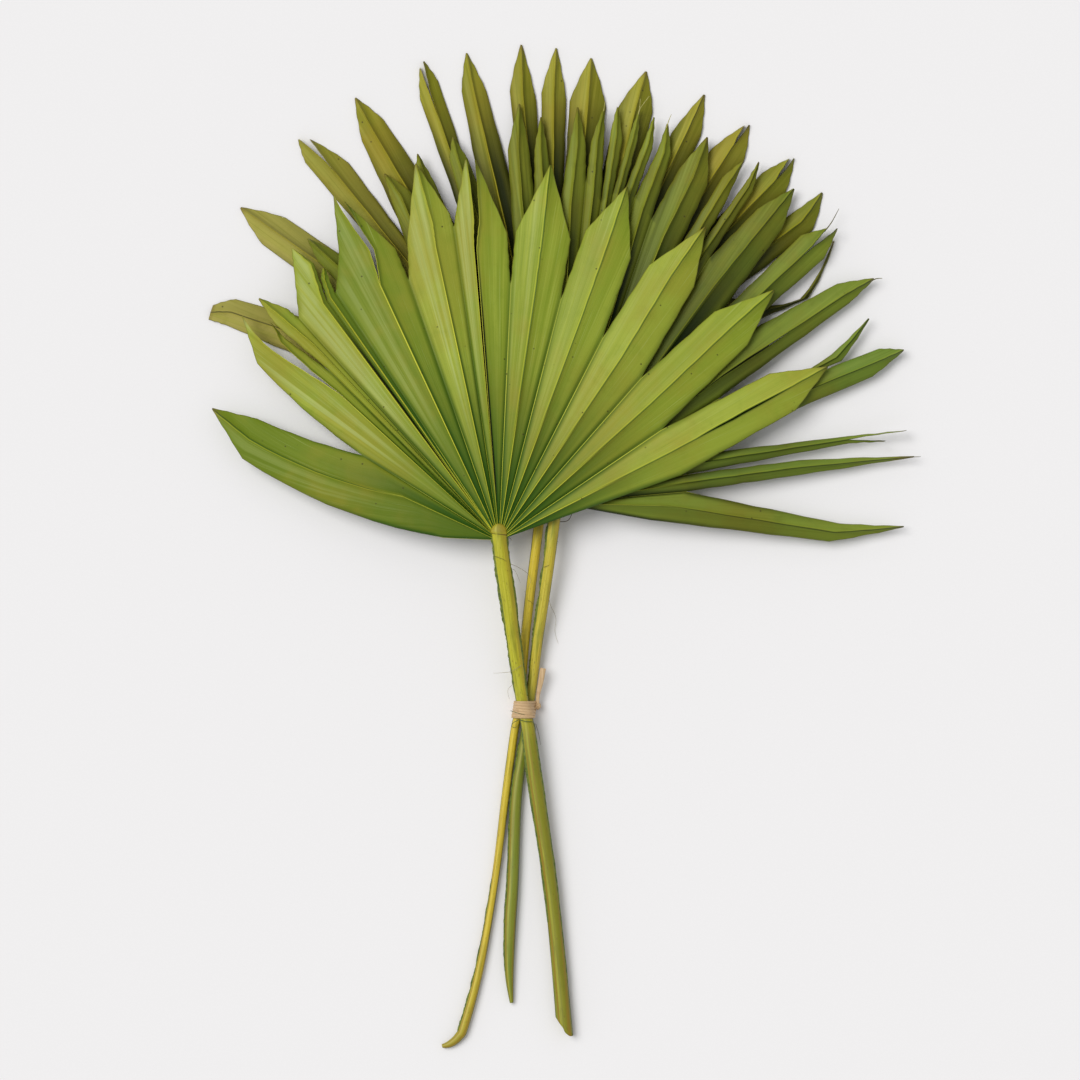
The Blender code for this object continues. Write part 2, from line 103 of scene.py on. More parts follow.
# Hairs, threads and torn fibres
THREAD_SIDES = 6
THREAD_TAPER = 0.6
THREAD_STEPS = 12            # rings for each place on its path
FIBRE_START = 2.5            # a torn fibre leaves its rib this far before the tip

# Raffia tie
TIE_TOP = -91.2
TIE_BOTTOM = -101.6
TIE_GAP = 0.3
TIE_THICKNESS = 0.8
WRAP_COUNT = 6
WRAP_RIDGE = 0.4
TIE_SIDES = 120
TIE_RINGS = 78
TIE_INNER_RINGS = 4
TIE_CLIMB = 1.7              # the strands' climb in one turn
TIE_ROUND = 44.0             # length of one turn
OUTLINE_SIDES = 64           # points of a stalk's section that the tie is drawn round
OUTLINE_HALVINGS = 40        # steps of the search for that section
KNOT_CENTRE = (-15.6, -94.6, 5.2)
KNOT_RADII = (1.8, 2.0, 2.3)
KNOT_RINGS = 24
KNOT_SIDES = 32
TAIL_PATH = ((-15.9, -94.0, 5.6), (-15.6, -88.0, 6.6), (-14.0, -80.0, 7.4), (-12.5, -71.6, 8.4))
TAIL_WIDTHS = (1.8, 2.2, 3.2, 3.5)
TAIL_THICKNESS = 0.5
TAIL_CURL = 0.25
TAIL_STEPS = 40
TAIL_STEPS_ACROSS = 8

# Camera and light
PICTURE_WIDTH = 648.0
PICTURE_CENTRE = (-12.66, 3.84)
LEAF_LEVEL = 12.0            # the picture's width is measured at this height
LENS = 200.0
SENSOR = 36.0
FLOOR_REACH = 4000.0
BACKGROUND = (0.845, 0.835, 0.84, 1.0)
FLOOR_FLECK = (0.835, 0.825, 0.83, 1.0)
ROOM_COLOUR = (0.99, 0.995, 1.0, 1.0)
WINDOW_COLOUR = (1.0, 0.995, 0.985)
ROOM_LIGHT = 0.5
WINDOW_LIGHT = 2.05
WINDOW_HEIGHT = 57.0         # degrees above the floor
WINDOW_SIDE = 150.0          # degrees from +X, so it comes from the upper left
WINDOW_SPREAD = 38.0         # degrees that the window fills

# Colours of small marks, as the 0 to 255 values that a screen shows
BLEACHED = (188, 178, 108)
# Near black, painted for the shade seen inside a split
CRACK_SHADE = (14, 22, 3)
LEAF_SPECK = (58, 52, 22)
CUT_EDGE = (96, 88, 36)
DRY_TIP = (104, 84, 36)
WORN_STALK = (146, 112, 30)
HASTULA_END = (140, 122, 40)
COLLAR_LINE = (82, 66, 22)
STALK_FLECK = (112, 92, 32)

# What a leaf's material reads: the share of the way from the ridge to a side, left of it below
# zero; millimetres from the ridge (left below zero), from the valley and from the hastula; the
# shares of the way to the tip and along the free edge; the segment's shade, from 0 for deep
# green to 1 for light; its place in the fan, from 0 at the left to 1; and a grid for its veins
LEAF_VALUES = ("lean", "cross", "valley", "distance", "reach", "free", "tone", "turn", "fan")
VEINS_WIDTH = 115.0          # width of one radian on that grid

# A segment, in millimetres from its leaf's hastula. Left and right are its corners, from which it
# narrows to its tip, and split is where it parts from the next one. A slit is given by its two
# distances along the ridge, bows by how far the free edges swing to the right, ridge by its share
# of the width, and tone 0 is deep green.
Segment = namedtuple("Segment", "tip left right split second_tip slit blunt bows ridge tone",
                     defaults=(None, None, TIP_WIDTH, (0.0, 0.0), 0.5, None))
Leaf = namedtuple("Leaf", "name hastula height rounding edge segments")
Stalk = namedtuple("Stalk", "name path cut")


FRONT_LEAF = Leaf("blade_front", (-39.0, 10.2), 13.0, 0.0, (-33, -3.5), (
    Segment((-172, 74), (-154, 44), (-145, 68), (-82, 46), bows=(-7.0, -1.5), tone=0.0),
    Segment((-154, 130), (-145, 101), (-128, 116), (-101, 96), (-137, 125), (110, 250),
            bows=(-2.4, 0.0), ridge=0.75),
    Segment((-144, 140), (-134, 124), (-127, 134), (-120, 128)),
    Segment((-124, 170), (-123, 157), (-111, 161), (-103, 138.5), ridge=0.86),
    Segment((-105, 158), (-107, 152), (-101, 150), (-98, 143), blunt=2.0, ridge=0.42, tone=0.0),
    Segment((-99, 202), (-96, 168), (-62, 170), (-54, 151), (-93, 198), (165, 250),
            ridge=0.61, tone=0.1),
    Segment((-50, 221), (-55, 175), (-29.5, 191), (-27, 183), ridge=0.6, tone=1.0),
    Segment((-20, 223), (-26, 191), (5, 179), (7, 148), (-14, 223), (30, 250),
            ridge=0.38),
    Segment((31, 220), (10, 180), (43, 175), (37, 139), tone=0.3),
    Segment((77, 207), (52, 181), (79, 164), (62, 116)),
    Segment((124, 183), (90, 160), (117, 147), (85, 92)),
    Segment((165, 145), (129, 132), (149, 112), (97, 61), tone=0.3),
    Segment((197, 99), (162, 95), (178, 73), (109, 34), slit=(130, 195), tone=1.0),
))
MIDDLE_LEAF = Leaf("blade_middle", (-4.8, 32.4), 6.9, 0.06, (-45, 8), (
    Segment((-106, 45), (-92, 30), (-86, 48), (-70, 42)),
    Segment((-146, 104), (-128, 80), (-122, 100), (-82, 76)),
    Segment((-149, 154), (-143, 140), (-130, 145), (-71, 97)),
    Segment((-103, 193), (-99, 177), (-87, 182), (-53, 113)),
    Segment((-83, 205), (-84, 194), (-73, 188), (-41, 118)),
    Segment((-62, 215), (-64, 201), (-53, 202), (-24, 128)),
    Segment((-22, 235), (-29, 207), (-16, 207), (-13, 180)),
    Segment((-9, 227), (-13, 207), (-5, 207), (0, 160)),
    Segment((13, 233), (8, 210), (18, 210), (18, 188), tone=1.0),
    Segment((29, 233), (21, 212), (29, 213), (27, 175)),
    Segment((37, 233), (33, 219), (40, 213), (34, 180)),
    Segment((50, 231), (44, 216), (49, 213), (40, 180)),
    Segment((59, 227), (53, 213), (58, 208), (47, 178)),
    Segment((67, 223), (61, 207), (69, 204), (57, 165)),
    Segment((91, 215), (74, 196), (91, 186), (72, 145), tone=0.2),
    Segment((113, 201), (100, 191), (101, 174), (87, 150)),
    Segment((122, 200), (114, 188), (118, 182), (92, 142)),
    Segment((143, 184), (121, 172), (136, 160), (98, 108), tone=0.15),
    Segment((163, 160), (147, 156), (161, 142), (104, 92), (169, 160.5), (214, 250)),
    Segment((191, 130), (169, 127), (176, 115), (97, 57.5), slit=(110, 170), ridge=0.6),
    Segment((188, 106), (165.5, 84.5), (171.5, 80.5), (96, 50), bows=(5.0, 0.0)),
    Segment((209, 87), (194, 88), (190, 71), (80, 24)),
    Segment((211, 38), (176, 35.5), (176, 31), (76, 12), (197, 33), (182, 250), 2.0),
    Segment((215, 23), (146, 21), (140, 11), (78, 2)),
    Segment((209, -19), (170, -17), (164, -28), (56, -15)),
))
BACK_LEAF = Leaf("blade_back", (-9.6, 71.4), 0.9, 0.12, (-130, 36), (
    Segment((-203, 71), (-193, 63), (-188, 79), (-90, 52), blunt=9.0, tone=1.0),
    Segment((-185, 134), (-172, 112), (-158, 128), (-66, 66)),
    Segment((-150, 175), (-146, 161), (-120, 161), (-84, 113), (-143, 175), (205, 250)),
    Segment((-116, 200), (-112, 174), (-99, 187), (-45, 108)),
    Segment((-77, 218), (-77, 199), (-66, 210), (-37, 125), (-75, 222), (205, 250)),
    Segment((-49, 227), (-52, 204), (-37, 204), (-14, 120)),
    Segment((-16, 232), (-23, 204), (-7, 198), (-3, 135)),
    Segment((5, 230), (-4, 203), (11, 199), (9, 135)),
    Segment((26, 224), (13, 198), (35, 194), (27, 132)),
    Segment((59, 216), (42, 194), (63, 191), (47, 127)),
    Segment((94, 202), (75, 180), (92, 177), (65, 118)),
    Segment((118, 183), (98, 169), (118, 162), (82, 107), (121, 184), (205, 250)),
    Segment((145, 163), (129, 155), (143, 143), (96, 95), (148, 164), (205, 250)),
    Segment((165, 143), (146, 130), (159, 120), (108, 81)),
    Segment((172, 114), (151.5, 79), (156.5, 79.5), (112, 60), bows=(5.0, 0.0)),
    Segment((133, 51), (118, 54), (120, 38), (90, 22)),
))
LEAVES = (FRONT_LEAF, MIDDLE_LEAF, BACK_LEAF)

# Each place on a stalk: x, y, height of its middle, half width, half height; then the slant of
# its cut end
FRONT_STALK = Stalk("stalk_front", (
    (-39.0, 10.2, 23.8, 4.7, 3.2), (-37.2, -5.0, 22.4, 4.6, 3.3), (-33.8, -28.0, 19.4, 4.5, 3.3),
    (-30.3, -54.6, 15.6, 4.2, 3.3), (-27.3, -76.0, 12.6, 4.0, 3.3), (-25.0, -91.0, 11.0, 3.9, 3.3),
    (-23.2, -99.0, 10.9, 3.9, 3.3), (-21.6, -107.0, 11.1, 4.1, 3.3), (-19.8, -121.0, 11.1, 4.5, 3.4),
    (-15.6, -150.6, 9.7, 4.6, 3.5), (-8.6, -198.6, 7.4, 4.3, 3.6), (-4.0, -240.6, 5.6, 4.5, 3.8),
    (0.2, -287.0, 4.6, 4.9, 4.2)), -1.3)
MIDDLE_STALK = Stalk("stalk_middle", (
    (-4.8, 32.4, 18.2, 3.8, 2.9), (-6.0, 16.0, 16.2, 3.6, 3.0), (-9.2, -10.0, 13.2, 3.4, 3.0),
    (-13.2, -38.0, 9.8, 3.3, 3.0), (-16.2, -58.0, 7.2, 3.2, 3.0), (-18.6, -78.6, 5.0, 3.0, 2.9),
    (-20.3, -91.0, 4.15, 2.9, 2.9), (-21.5, -100.0, 4.1, 2.9, 2.9), (-22.6, -107.0, 4.1, 2.9, 2.9),
    (-24.6, -121.0, 4.1, 3.2, 3.0), (-28.8, -150.6, 4.1, 3.5, 3.1), (-30.8, -198.6, 4.0, 3.7, 3.1),
    (-32.4, -224.0, 3.8, 3.8, 3.0), (-33.0, -247.6, 3.3, 3.1, 2.6), (-32.6, -260.9, 2.9, 2.3, 2.1),
    (-31.5, -273.0, 2.3, 1.1, 1.3)), 0.0)
BACK_STALK = Stalk("stalk_back", (
    (-9.6, 71.4, 12.4, 3.4, 2.6), (-12.0, 46.0, 11.2, 3.2, 2.7), (-15.2, 13.8, 9.4, 3.1, 2.7),
    (-19.4, -20.0, 7.6, 3.0, 2.7), (-22.9, -50.0, 5.6, 2.9, 2.7), (-25.2, -78.6, 4.1, 2.6, 2.6),
    (-26.2, -91.0, 3.75, 2.5, 2.5), (-27.6, -100.0, 3.7, 2.5, 2.5), (-29.3, -107.0, 3.7, 2.5, 2.5),
    (-31.4, -121.0, 3.6, 2.5, 2.5), (-35.4, -150.6, 3.4, 2.4, 2.5), (-41.4, -198.6, 3.1, 2.3, 2.5),
    (-50.3, -250.0, 3.0, 2.6, 2.4), (-59.8, -286.0, 3.0, 2.9, 2.4), (-63.4, -293.4, 2.8, 2.7, 2.2),
    (-68.4, -297.6, 2.4, 2.2, 1.8), (-73.2, -299.1, 1.9, 1.2, 1.3)), 0.0)
STALKS = (FRONT_STALK, MIDDLE_STALK, BACK_STALK)


# Shapes

def between(first, second, share):
    return np.asarray(first, float) * (1.0 - share) + np.asarray(second, float) * share


def length(vector):
    return float(np.linalg.norm(vector))


def unit(vector):
    return vector / length(vector)


def beside(tangent):
    """Level direction to the right of a tangent."""
    return unit(np.array((tangent[1], -tangent[0], 0.0)))


def dome(x, y):
    """Height of the arched fans over the surface."""
    across = (x - DOME_CENTRE[0]) / DOME_WIDTH
    along = (y - DOME_CENTRE[1]) / DOME_LENGTH
    reach = min(math.hypot(across, along), 1.0)
    return DOME_HEIGHT * math.cos(0.5 * math.pi * reach) ** 2


def edge_line(split, corner, tip, bow, rounding, wave):
    """Points of one edge line of a segment, from the base arc to the tip."""
    split, corner, tip, centre = (np.asarray(place, float) for place in (split, corner, tip, FAN_CENTRE))
    start = centre + unit(split - centre) * BASE_RADIUS
    points = []
    for row in range(ROWS_JOINED + 1):
        points.append(between(start, split, (row / ROWS_JOINED) ** ROW_GROWTH))
    outward = unit(corner - split)
    sideways = np.array((outward[1], -outward[0]))
    for row in range(1, ROWS_EDGE + 1):
        share = row / ROWS_EDGE
        shift = EDGE_WAVE * math.sin(EDGE_TURNS[0] * row + wave) * math.sin(math.pi * share)
        bend = 4.0 * bow * share * (1.0 - share)
        points.append(between(split, corner, share) + sideways * (shift + bend))
    to_tip = tip - corner
    turn = outward - unit(to_tip)
    handle = corner + to_tip / 2 + turn * rounding * length(to_tip)
    for row in range(1, ROWS_TIP + 1):
        share = row / ROWS_TIP
        shift = EDGE_WAVE * math.sin(EDGE_TURNS[1] * row + 2 * wave) * math.sin(math.pi * share)
        place = between(between(corner, handle, share), between(handle, tip, share), share)
        points.append(place + sideways * shift)
    return points


def ridge_share(piece, row):
    """Where the ridge runs at one row, as a share of the width; between two tips it ends midway."""
    if piece.second_tip is None:
        return piece.ridge
    to_tip = max(row - ROWS_JOINED, 0) / (ROWS_EDGE + ROWS_TIP)
    return piece.ridge + (0.5 - piece.ridge) * to_tip ** 2


def slit_gap(piece, row, rows, distance, start_row):
    """Width of the slit along a segment's ridge at one row."""
    if piece.slit is None or distance <= piece.slit[0]:
        return 0.0
    if piece.second_tip is None:
        share = (distance - piece.slit[0]) / (piece.slit[1] - piece.slit[0])
        return SLIT_WIDTH * math.sin(math.pi * share) if share < 1.0 else 0.0
    full = math.dist(piece.tip, piece.second_tip) - piece.blunt
    share = (row - start_row) / (rows - start_row)
    return SLIT_WIDTH * min(1.0, 3.0 * share) + max(full - SLIT_WIDTH, 0.0) * share ** SLIT_OPENING


def segment_rows(piece, left_split, number, rounding):
    """Rows of one segment: left edge, left and right side of the ridge, right edge."""
    side = unit(np.subtract(piece.right, piece.left))
    last_tip = piece.second_tip or piece.tip
    left_end = np.asarray(piece.tip) - side * piece.blunt / 2
    right_end = np.asarray(last_tip) + side * piece.blunt / 2
    left = edge_line(left_split, piece.left, left_end, piece.bows[0], rounding, 1.3 * number)
    right = edge_line(piece.split, piece.right, right_end, piece.bows[1], rounding, 1.3 * number + 2.0)
    ridge = [between(a, b, ridge_share(piece, row)) for row, (a, b) in enumerate(zip(left, right))]
    last = len(ridge) - 1
    open_rows = [row for row, place in enumerate(ridge)
                 if piece.slit and length(place) > piece.slit[0]]
    start_row = open_rows[0] - 1 if open_rows else last
    rows = []
    for row, (a, middle, b) in enumerate(zip(left, ridge, right)):
        gap = slit_gap(piece, row, last, length(middle), start_row)
        step = unit(b - a) * gap / 2
        rows.append((a, middle - step, middle + step, b))
    return rows


def pleat(width, share, taper=1.0):
    """Height of the pleated sheet over its valleys; share is 0 in a valley and 1 on a ridge.

    The small folds run on straight where the sheet tapers to its tip.
    """
    height = PLEAT_HEIGHT * width / (width + PLEAT_WIDTH_SCALE)
    folded = 2.0 * math.pi * (1.0 - (1.0 - share) * taper)
    body = height * (share + SECOND_FOLD * math.sin(folded) + THIRD_FOLD * math.sin(2.0 * folded))
    rib = RIB_HEIGHT * max(0.0, (share - RIB_SHARE) / (1.0 - RIB_SHARE))
    return body + rib * min(width / RIB_FULL, 1.0)


def fan_angle(place):
    return math.atan2(place[1] - FAN_CENTRE[1], place[0] - FAN_CENTRE[0])


def blade_surface(leaf, chance):
    """Top face of a blade: points, triangles of spots, and each spot's point and values.

    A spot is a point as one segment sees it, so two segments share a valley's points but give
    them values of their own.
    """
    points = []
    index = {}
    point_of = []
    values = {key: [] for key in LEAF_VALUES}
    triangles = []

    def spot(key, place, width, share, facts):
        if key not in index:
            x = leaf.hastula[0] + place[0]
            y = leaf.hastula[1] + place[1]
            index[key] = len(points)
            points.append((x, y, dome(x, y) + leaf.height + pleat(width, share, facts[1])))
        side, taper, half_width, bend, number, *rest = facts
        distance = length(place)
        lean = side * (1.0 - share)
        grid = (VEINS_WIDTH * (fan_angle(place) - bend), distance, 7.0 * number)
        row = (lean, lean * half_width, share * half_width, distance, *rest, grid)
        for name, value in zip(LEAF_VALUES, row):
            values[name].append(value)
        point_of.append(index[key])
        return len(point_of) - 1

    left_split = leaf.edge
    for number, piece in enumerate(leaf.segments):
        rows = segment_rows(piece, left_split, number, leaf.rounding)
        tone = 0.35 + 0.65 * chance.random() if piece.tone is None else piece.tone
        turn = (number + 0.5) / len(leaf.segments)
        halves = ([], [])
        corner_widths = [1.0, 1.0]
        bowed = max(abs(bow) for bow in piece.bows) > STRAIGHT_BOW
        for row, (a, ridge_left, ridge_right, b) in enumerate(rows):
            width = length(b - a)
            joined = row <= ROWS_JOINED
            free = min(max((row - ROWS_JOINED) / ROWS_EDGE, 0.0), 1.0)
            opened = not np.allclose(ridge_left, ridge_right)
            bend = 0.0
            if bowed and not joined:
                bend = fan_angle(ridge_left) - fan_angle(rows[ROWS_JOINED][1])
            for side, (edge, ridge) in enumerate(((a, ridge_left), (b, ridge_right))):
                edge_key = ("valley", number + side, row) if joined else ("edge", number, row, side)
                ridge_key = ("ridge", number, row, side if opened else 0)
                half_width = length(ridge - edge)
                if row <= ROWS_JOINED + ROWS_EDGE:
                    corner_widths[side] = half_width
                taper = half_width / corner_widths[side]
                reach = row / (len(rows) - 1)
                facts = (2 * side - 1, taper, half_width, bend, number, reach, free, tone, turn)
                line = [spot(edge_key, edge, width, 0.0, facts)]
                for share in ACROSS[1:-1]:
                    key = ("between", number, row, side, share)
                    line.append(spot(key, between(edge, ridge, share), width, share, facts))
                line.append(spot(ridge_key, ridge, width, 1.0, facts))
                halves[side].append(line if side == 0 else line[::-1])
        for grid in halves:
            for near, far in zip(grid, grid[1:]):
                for cell in range(len(ACROSS) - 1):
                    triangles.append((near[cell], near[cell + 1], far[cell + 1]))
                    triangles.append((near[cell], far[cell + 1], far[cell]))
        left_split = piece.split
    return points, triangles, point_of, values


def thickened(points, triangles, point_of, thickness):
    """Closes a sheet into a solid: the same triangles again below, and a rim between."""
    count = len(points)
    below = [(x, y, z - thickness) for x, y, z in points]
    faces = []
    corners = []
    sides = {}
    for spots in triangles:
        a, b, c = (point_of[spot] for spot in spots)
        faces += [(a, b, c), (c + count, b + count, a + count)]
        corners += [spots, spots[::-1]]
        for near, far in ((0, 1), (1, 2), (2, 0)):
            sides[point_of[spots[near]], point_of[spots[far]]] = (spots[near], spots[far])
    for (a, b), (spot_a, spot_b) in sides.items():
        if (b, a) not in sides:
            faces += [(b, a, a + count), (b, a + count, b + count)]
            corners += [(spot_b, spot_a, spot_a), (spot_b, spot_a, spot_b)]
    return points + below, faces, corners


def curve_point(path, place):
    """Smooth curve through the rows of a path; place counts them from 0."""
    rows = np.asarray(path, float)
    start = min(int(place), len(rows) - 2)
    t = place - start
    near = rows[max(start - 1, 0)]
    far = rows[min(start + 2, len(rows) - 1)]
    a, b = rows[start], rows[start + 1]
    return 0.5 * (2 * a + (b - near) * t + (2 * near - 5 * a + 4 * b - far) * t ** 2
                  + (3 * a - near - 3 * b + far) * t ** 3)


def heading(path, place):
    """Direction of a path at one place."""
    ahead = curve_point(path, min(place + PATH_STEP, len(path) - 1.0))
    behind = curve_point(path, max(place - PATH_STEP, 0.0))
    return unit(ahead - behind)


def ring_faces(rings, sides, turned=False, loop=False):
    """Faces between rings of points in a row; a loop's last ring meets its first again."""
    faces = []
    for ring in range(rings if loop else rings - 1):
        near = ring * sides
        far = (ring + 1) % rings * sides
        for side in range(sides):
            after = (side + 1) % sides
            face = (near + side, near + after, far + after, far + side)
            faces.append((face[0], face[3], face[2], face[1]) if turned else face)
    return faces


def rod_faces(rings, sides):
    """Faces between rings of points, with a face on either end."""
    last = (rings - 1) * sides
    ends = [tuple(reversed(range(sides))), tuple(range(last, last + sides))]
    return ring_faces(rings, sides) + ends


def stalk_section(half_width, half_height, sides):
    """Section of a stalk with two side edges, as pairs across and up."""
    section = []
    for side in range(sides):
        angle = 2.0 * math.pi * side / sides
        across = math.copysign(abs(math.cos(angle)) ** STALK_MARGIN, math.cos(angle))
        up = math.copysign(abs(math.sin(angle)) ** (2.0 - STALK_MARGIN), math.sin(angle))
        section.append((half_width * across, half_height * up))
    return section


def stalk_rings(stalk):
    """Rings of a stalk from its rounded end inside the blade down to its cut end."""
    last = len(stalk.path) - 1
    middles = [curve_point(stalk.path, last * ring / STALK_RINGS) for ring in range(STALK_RINGS + 1)]
    rings = []
    start = middles[0][:3]
    forward = start - middles[1][:3]
    forward[2] = 0.0
    forward = unit(forward)
    for ring in range(HASTULA_RINGS):
        turn = 0.5 * math.pi * (HASTULA_RINGS - ring - 0.55) / HASTULA_RINGS
        shrink = math.cos(turn)
        height = middles[0][4] * (HASTULA_FLATNESS + (1.0 - HASTULA_FLATNESS) * shrink)
        rings.append((start + forward * HASTULA_RADIUS * math.sin(turn), forward,
                      HASTULA_RADIUS * shrink, height, 0.0))
    for number, middle in enumerate(middles):
        before = middles[max(number - 1, 0)][:3]
        after = middles[min(number + 1, STALK_RINGS)][:3]
        tangent = unit(before - after)
        from_end = length(middle[:3] - middles[-1][:3])
        slant = stalk.cut * max(0.0, 1.0 - from_end / CUT_LENGTH)
        rings.append((middle[:3], tangent, middle[3], middle[4], slant))
    return rings


def stalk_shape(stalk):
    """A stalk with its rounded end, grooves and cut, and the values that its material reads."""
    points = []
    values = {"around": [], "reach": [], "fibre": []}
    rings = stalk_rings(stalk)
    for number, (centre, tangent, half_width, half_height, slant) in enumerate(rings):
        side = beside(tangent)
        up = np.cross(side, tangent)
        for count, (across, rise) in enumerate(stalk_section(half_width, half_height, STALK_SIDES)):
            angle = 2.0 * math.pi * count / STALK_SIDES
            share = across / half_width
            # A cut stands out in its middle, less on its left, and is drawn in on its right
            bulge = 1.0 - share ** 2 - 1.2 * max(0.0, share - 0.6) ** 2
            along = slant * across + CUT_BULGE * slant * (0.5 * bulge if across < 0.0 else bulge)
            ripple = 0.5 + 0.5 * math.sin(GROOVE_COUNT * angle + GROOVE_TWIST * number)
            collar = number - HASTULA_RINGS - COLLAR_SLANT * share
            size = 1.0 - STALK_GROOVE / half_width * ripple
            size += COLLAR_SWELL * math.exp(-(collar ** 2) / COLLAR_SPREAD)
            points.append(centre + (side * across + up * rise) * size + tangent * along)
            values["around"].append(math.cos(angle))
            values["reach"].append(number / (len(rings) - 1))
            grain = (math.cos(angle) * STALK_GRAIN, math.sin(angle) * STALK_GRAIN, float(centre[1]))
            values["fibre"].append(grain)
    return points, rod_faces(len(rings), STALK_SIDES), values


def flange_shape(stalk, side, start, end, width, chance):
    """Thin ragged skin along one side of a stalk, between two places on its path."""
    grid = []
    reach = 0.5
    for row in range(FLANGE_STEPS + 1):
        share = row / FLANGE_STEPS
        x, y, z, half_width, half_height = curve_point(stalk.path, start + (end - start) * share)
        ends = (max(share - 0.01, 0.0), min(share + 0.01, 1.0))
        behind, ahead = (curve_point(stalk.path, start + (end - start) * place)[:2] for place in ends)
        down = unit(ahead - behind)
        out = np.array((-down[1], down[0])) * side
        reach = min(max(reach + chance.uniform(-FLANGE_RAGGED, FLANGE_RAGGED), FLANGE_LEAST), 1.0)
        # It widens over the first twelfth and narrows over the last sixth
        swell = math.sin(math.pi * min(share * 6.0, 0.5, 3.0 - 3.0 * share))
        rim = (half_width + width * reach * swell, FLANGE_LIFT * half_height * chance.uniform(0.6, 1.4))
        places = [(across * half_width, rise * half_height) for across, rise in FLANGE_ROOTS] + [rim]
        line = [(x + out[0] * across, y + out[1] * across, z + rise) for across, rise in places]
        grid.append(line if side > 0 else line[::-1])
    return closed_strip(grid, FLANGE_THICKNESS)


def stalk_outline_at(stalk, y):
    """Points of a stalk's section where it crosses the plane of one y, as pairs x and z."""
    low, high = 0.0, float(len(stalk.path) - 1)
    for _ in range(OUTLINE_HALVINGS):
        middle = (low + high) / 2
        if curve_point(stalk.path, middle)[1] > y:
            low = middle
        else:
            high = middle
    x, _, z, half_width, half_height = curve_point(stalk.path, low)
    return [(x + a, z + b) for a, b in stalk_section(half_width, half_height, OUTLINE_SIDES)]


def tie_loop(y, offsets):
    """Closed loop drawn tight round the three stalks at one y, held off by an offset a side."""
    outline = np.array([point for stalk in STALKS for point in stalk_outline_at(stalk, y)])
    sides = len(offsets)
    step = 2.0 * math.pi / sides
    normals = np.array([(math.cos(side * step), math.sin(side * step)) for side in range(sides)])
    reaches = (outline @ normals.T).max(axis=0)
    loop = []
    for side in range(sides):
        here, after = reaches[side], reaches[(side + 1) % sides]
        along = (after - here * math.cos(step)) / math.sin(step)
        angle = side * step
        out = here + offsets[side]
        x = out * math.cos(angle) - along * math.sin(angle)
        z = out * math.sin(angle) + along * math.cos(angle)
        loop.append((x, y, max(z, 0.0)))
    return loop


def band_shape():
    """The wound band: turns that climb like a screw, with uneven outer edges."""
    loops = []
    values = {"wind": [], "fibre": []}
    for ring in range(TIE_RINGS + 1):
        share = ring / TIE_RINGS
        y = TIE_TOP + (TIE_BOTTOM - TIE_TOP) * share
        end = min(share, 1.0 - share) * TIE_RINGS
        body = TIE_GAP + TIE_THICKNESS * min(1.0, 0.4 + 0.3 * end)
        offsets = []
        for side in range(TIE_SIDES):
            turn = (share * WRAP_COUNT + side / TIE_SIDES) % 1.0
            ridge = WRAP_RIDGE * (1.0 - abs(2.0 * turn - 1.0) ** 2.5)
            offsets.append(body + ridge * min(1.0, end / 3))
            values["wind"].append(turn)
            along = share * (TIE_TOP - TIE_BOTTOM) + side / TIE_SIDES * TIE_CLIMB
            values["fibre"].append((along, side / TIE_SIDES * TIE_ROUND, 0.0))
        loops.append(tie_loop(y, offsets))
    for step in range(TIE_INNER_RINGS, -1, -1):
        y = TIE_TOP + (TIE_BOTTOM - TIE_TOP) * step / TIE_INNER_RINGS
        loops.append(tie_loop(y, [TIE_GAP] * TIE_SIDES))
        values["wind"] += [0.0] * TIE_SIDES
        values["fibre"] += [(0.0, TIE_ROUND * side / TIE_SIDES, 5.0) for side in range(TIE_SIDES)]
    points = [point for loop in loops for point in loop]
    return points, ring_faces(len(loops), TIE_SIDES, turned=True, loop=True), values


def knot_shape():
    """A half hitch seen as a lump with two crossing turns."""
    points = []
    for ring in range(KNOT_RINGS + 1):
        fall = math.pi * ring / KNOT_RINGS
        for side in range(KNOT_SIDES):
            angle = 2.0 * math.pi * side / KNOT_SIDES
            fold = 1.0 + 0.10 * math.sin(2 * angle + 3.0 * math.cos(fall)) - 0.06 * math.sin(5 * angle)
            spot = (math.sin(fall) * math.cos(angle), math.sin(fall) * math.sin(angle), math.cos(fall))
            points.append([c + r * p * fold for c, r, p in zip(KNOT_CENTRE, KNOT_RADII, spot)])
    return points, ring_faces(KNOT_RINGS + 1, KNOT_SIDES, turned=True)


def tail_shape():
    """The tie's flat loose end, curled a little across."""
    grid = []
    for row in range(TAIL_STEPS + 1):
        place = (len(TAIL_PATH) - 1) * row / TAIL_STEPS
        centre = curve_point(TAIL_PATH, place)
        side = beside(heading(TAIL_PATH, place))
        width = float(np.interp(row / TAIL_STEPS, np.linspace(0, 1, len(TAIL_WIDTHS)), TAIL_WIDTHS))
        line = []
        for step in range(TAIL_STEPS_ACROSS + 1):
            share = 2.0 * step / TAIL_STEPS_ACROSS - 1.0
            lift = TAIL_CURL * (1.0 - share * share)
            line.append(centre + side * width / 2 * share + np.array((0.0, 0.0, lift)))
        grid.append(line)
    return closed_strip(grid, TAIL_THICKNESS, turned=True)


def closed_strip(grid, thickness, turned=False):
    """Closes rows of points into a thin solid; turned for rows that run the other way."""
    columns = len(grid[0])
    triangles = []
    for row in range(len(grid) - 1):
        for step in range(columns - 1):
            a = row * columns + step
            b = a + columns
            for face in ((a, a + 1, b + 1), (a, b + 1, b)):
                triangles.append((face[0], face[2], face[1]) if turned else face)
    top = [tuple(point) for line in grid for point in line]
    points, faces, _ = thickened(top, triangles, range(len(top)), thickness)
    return points, faces


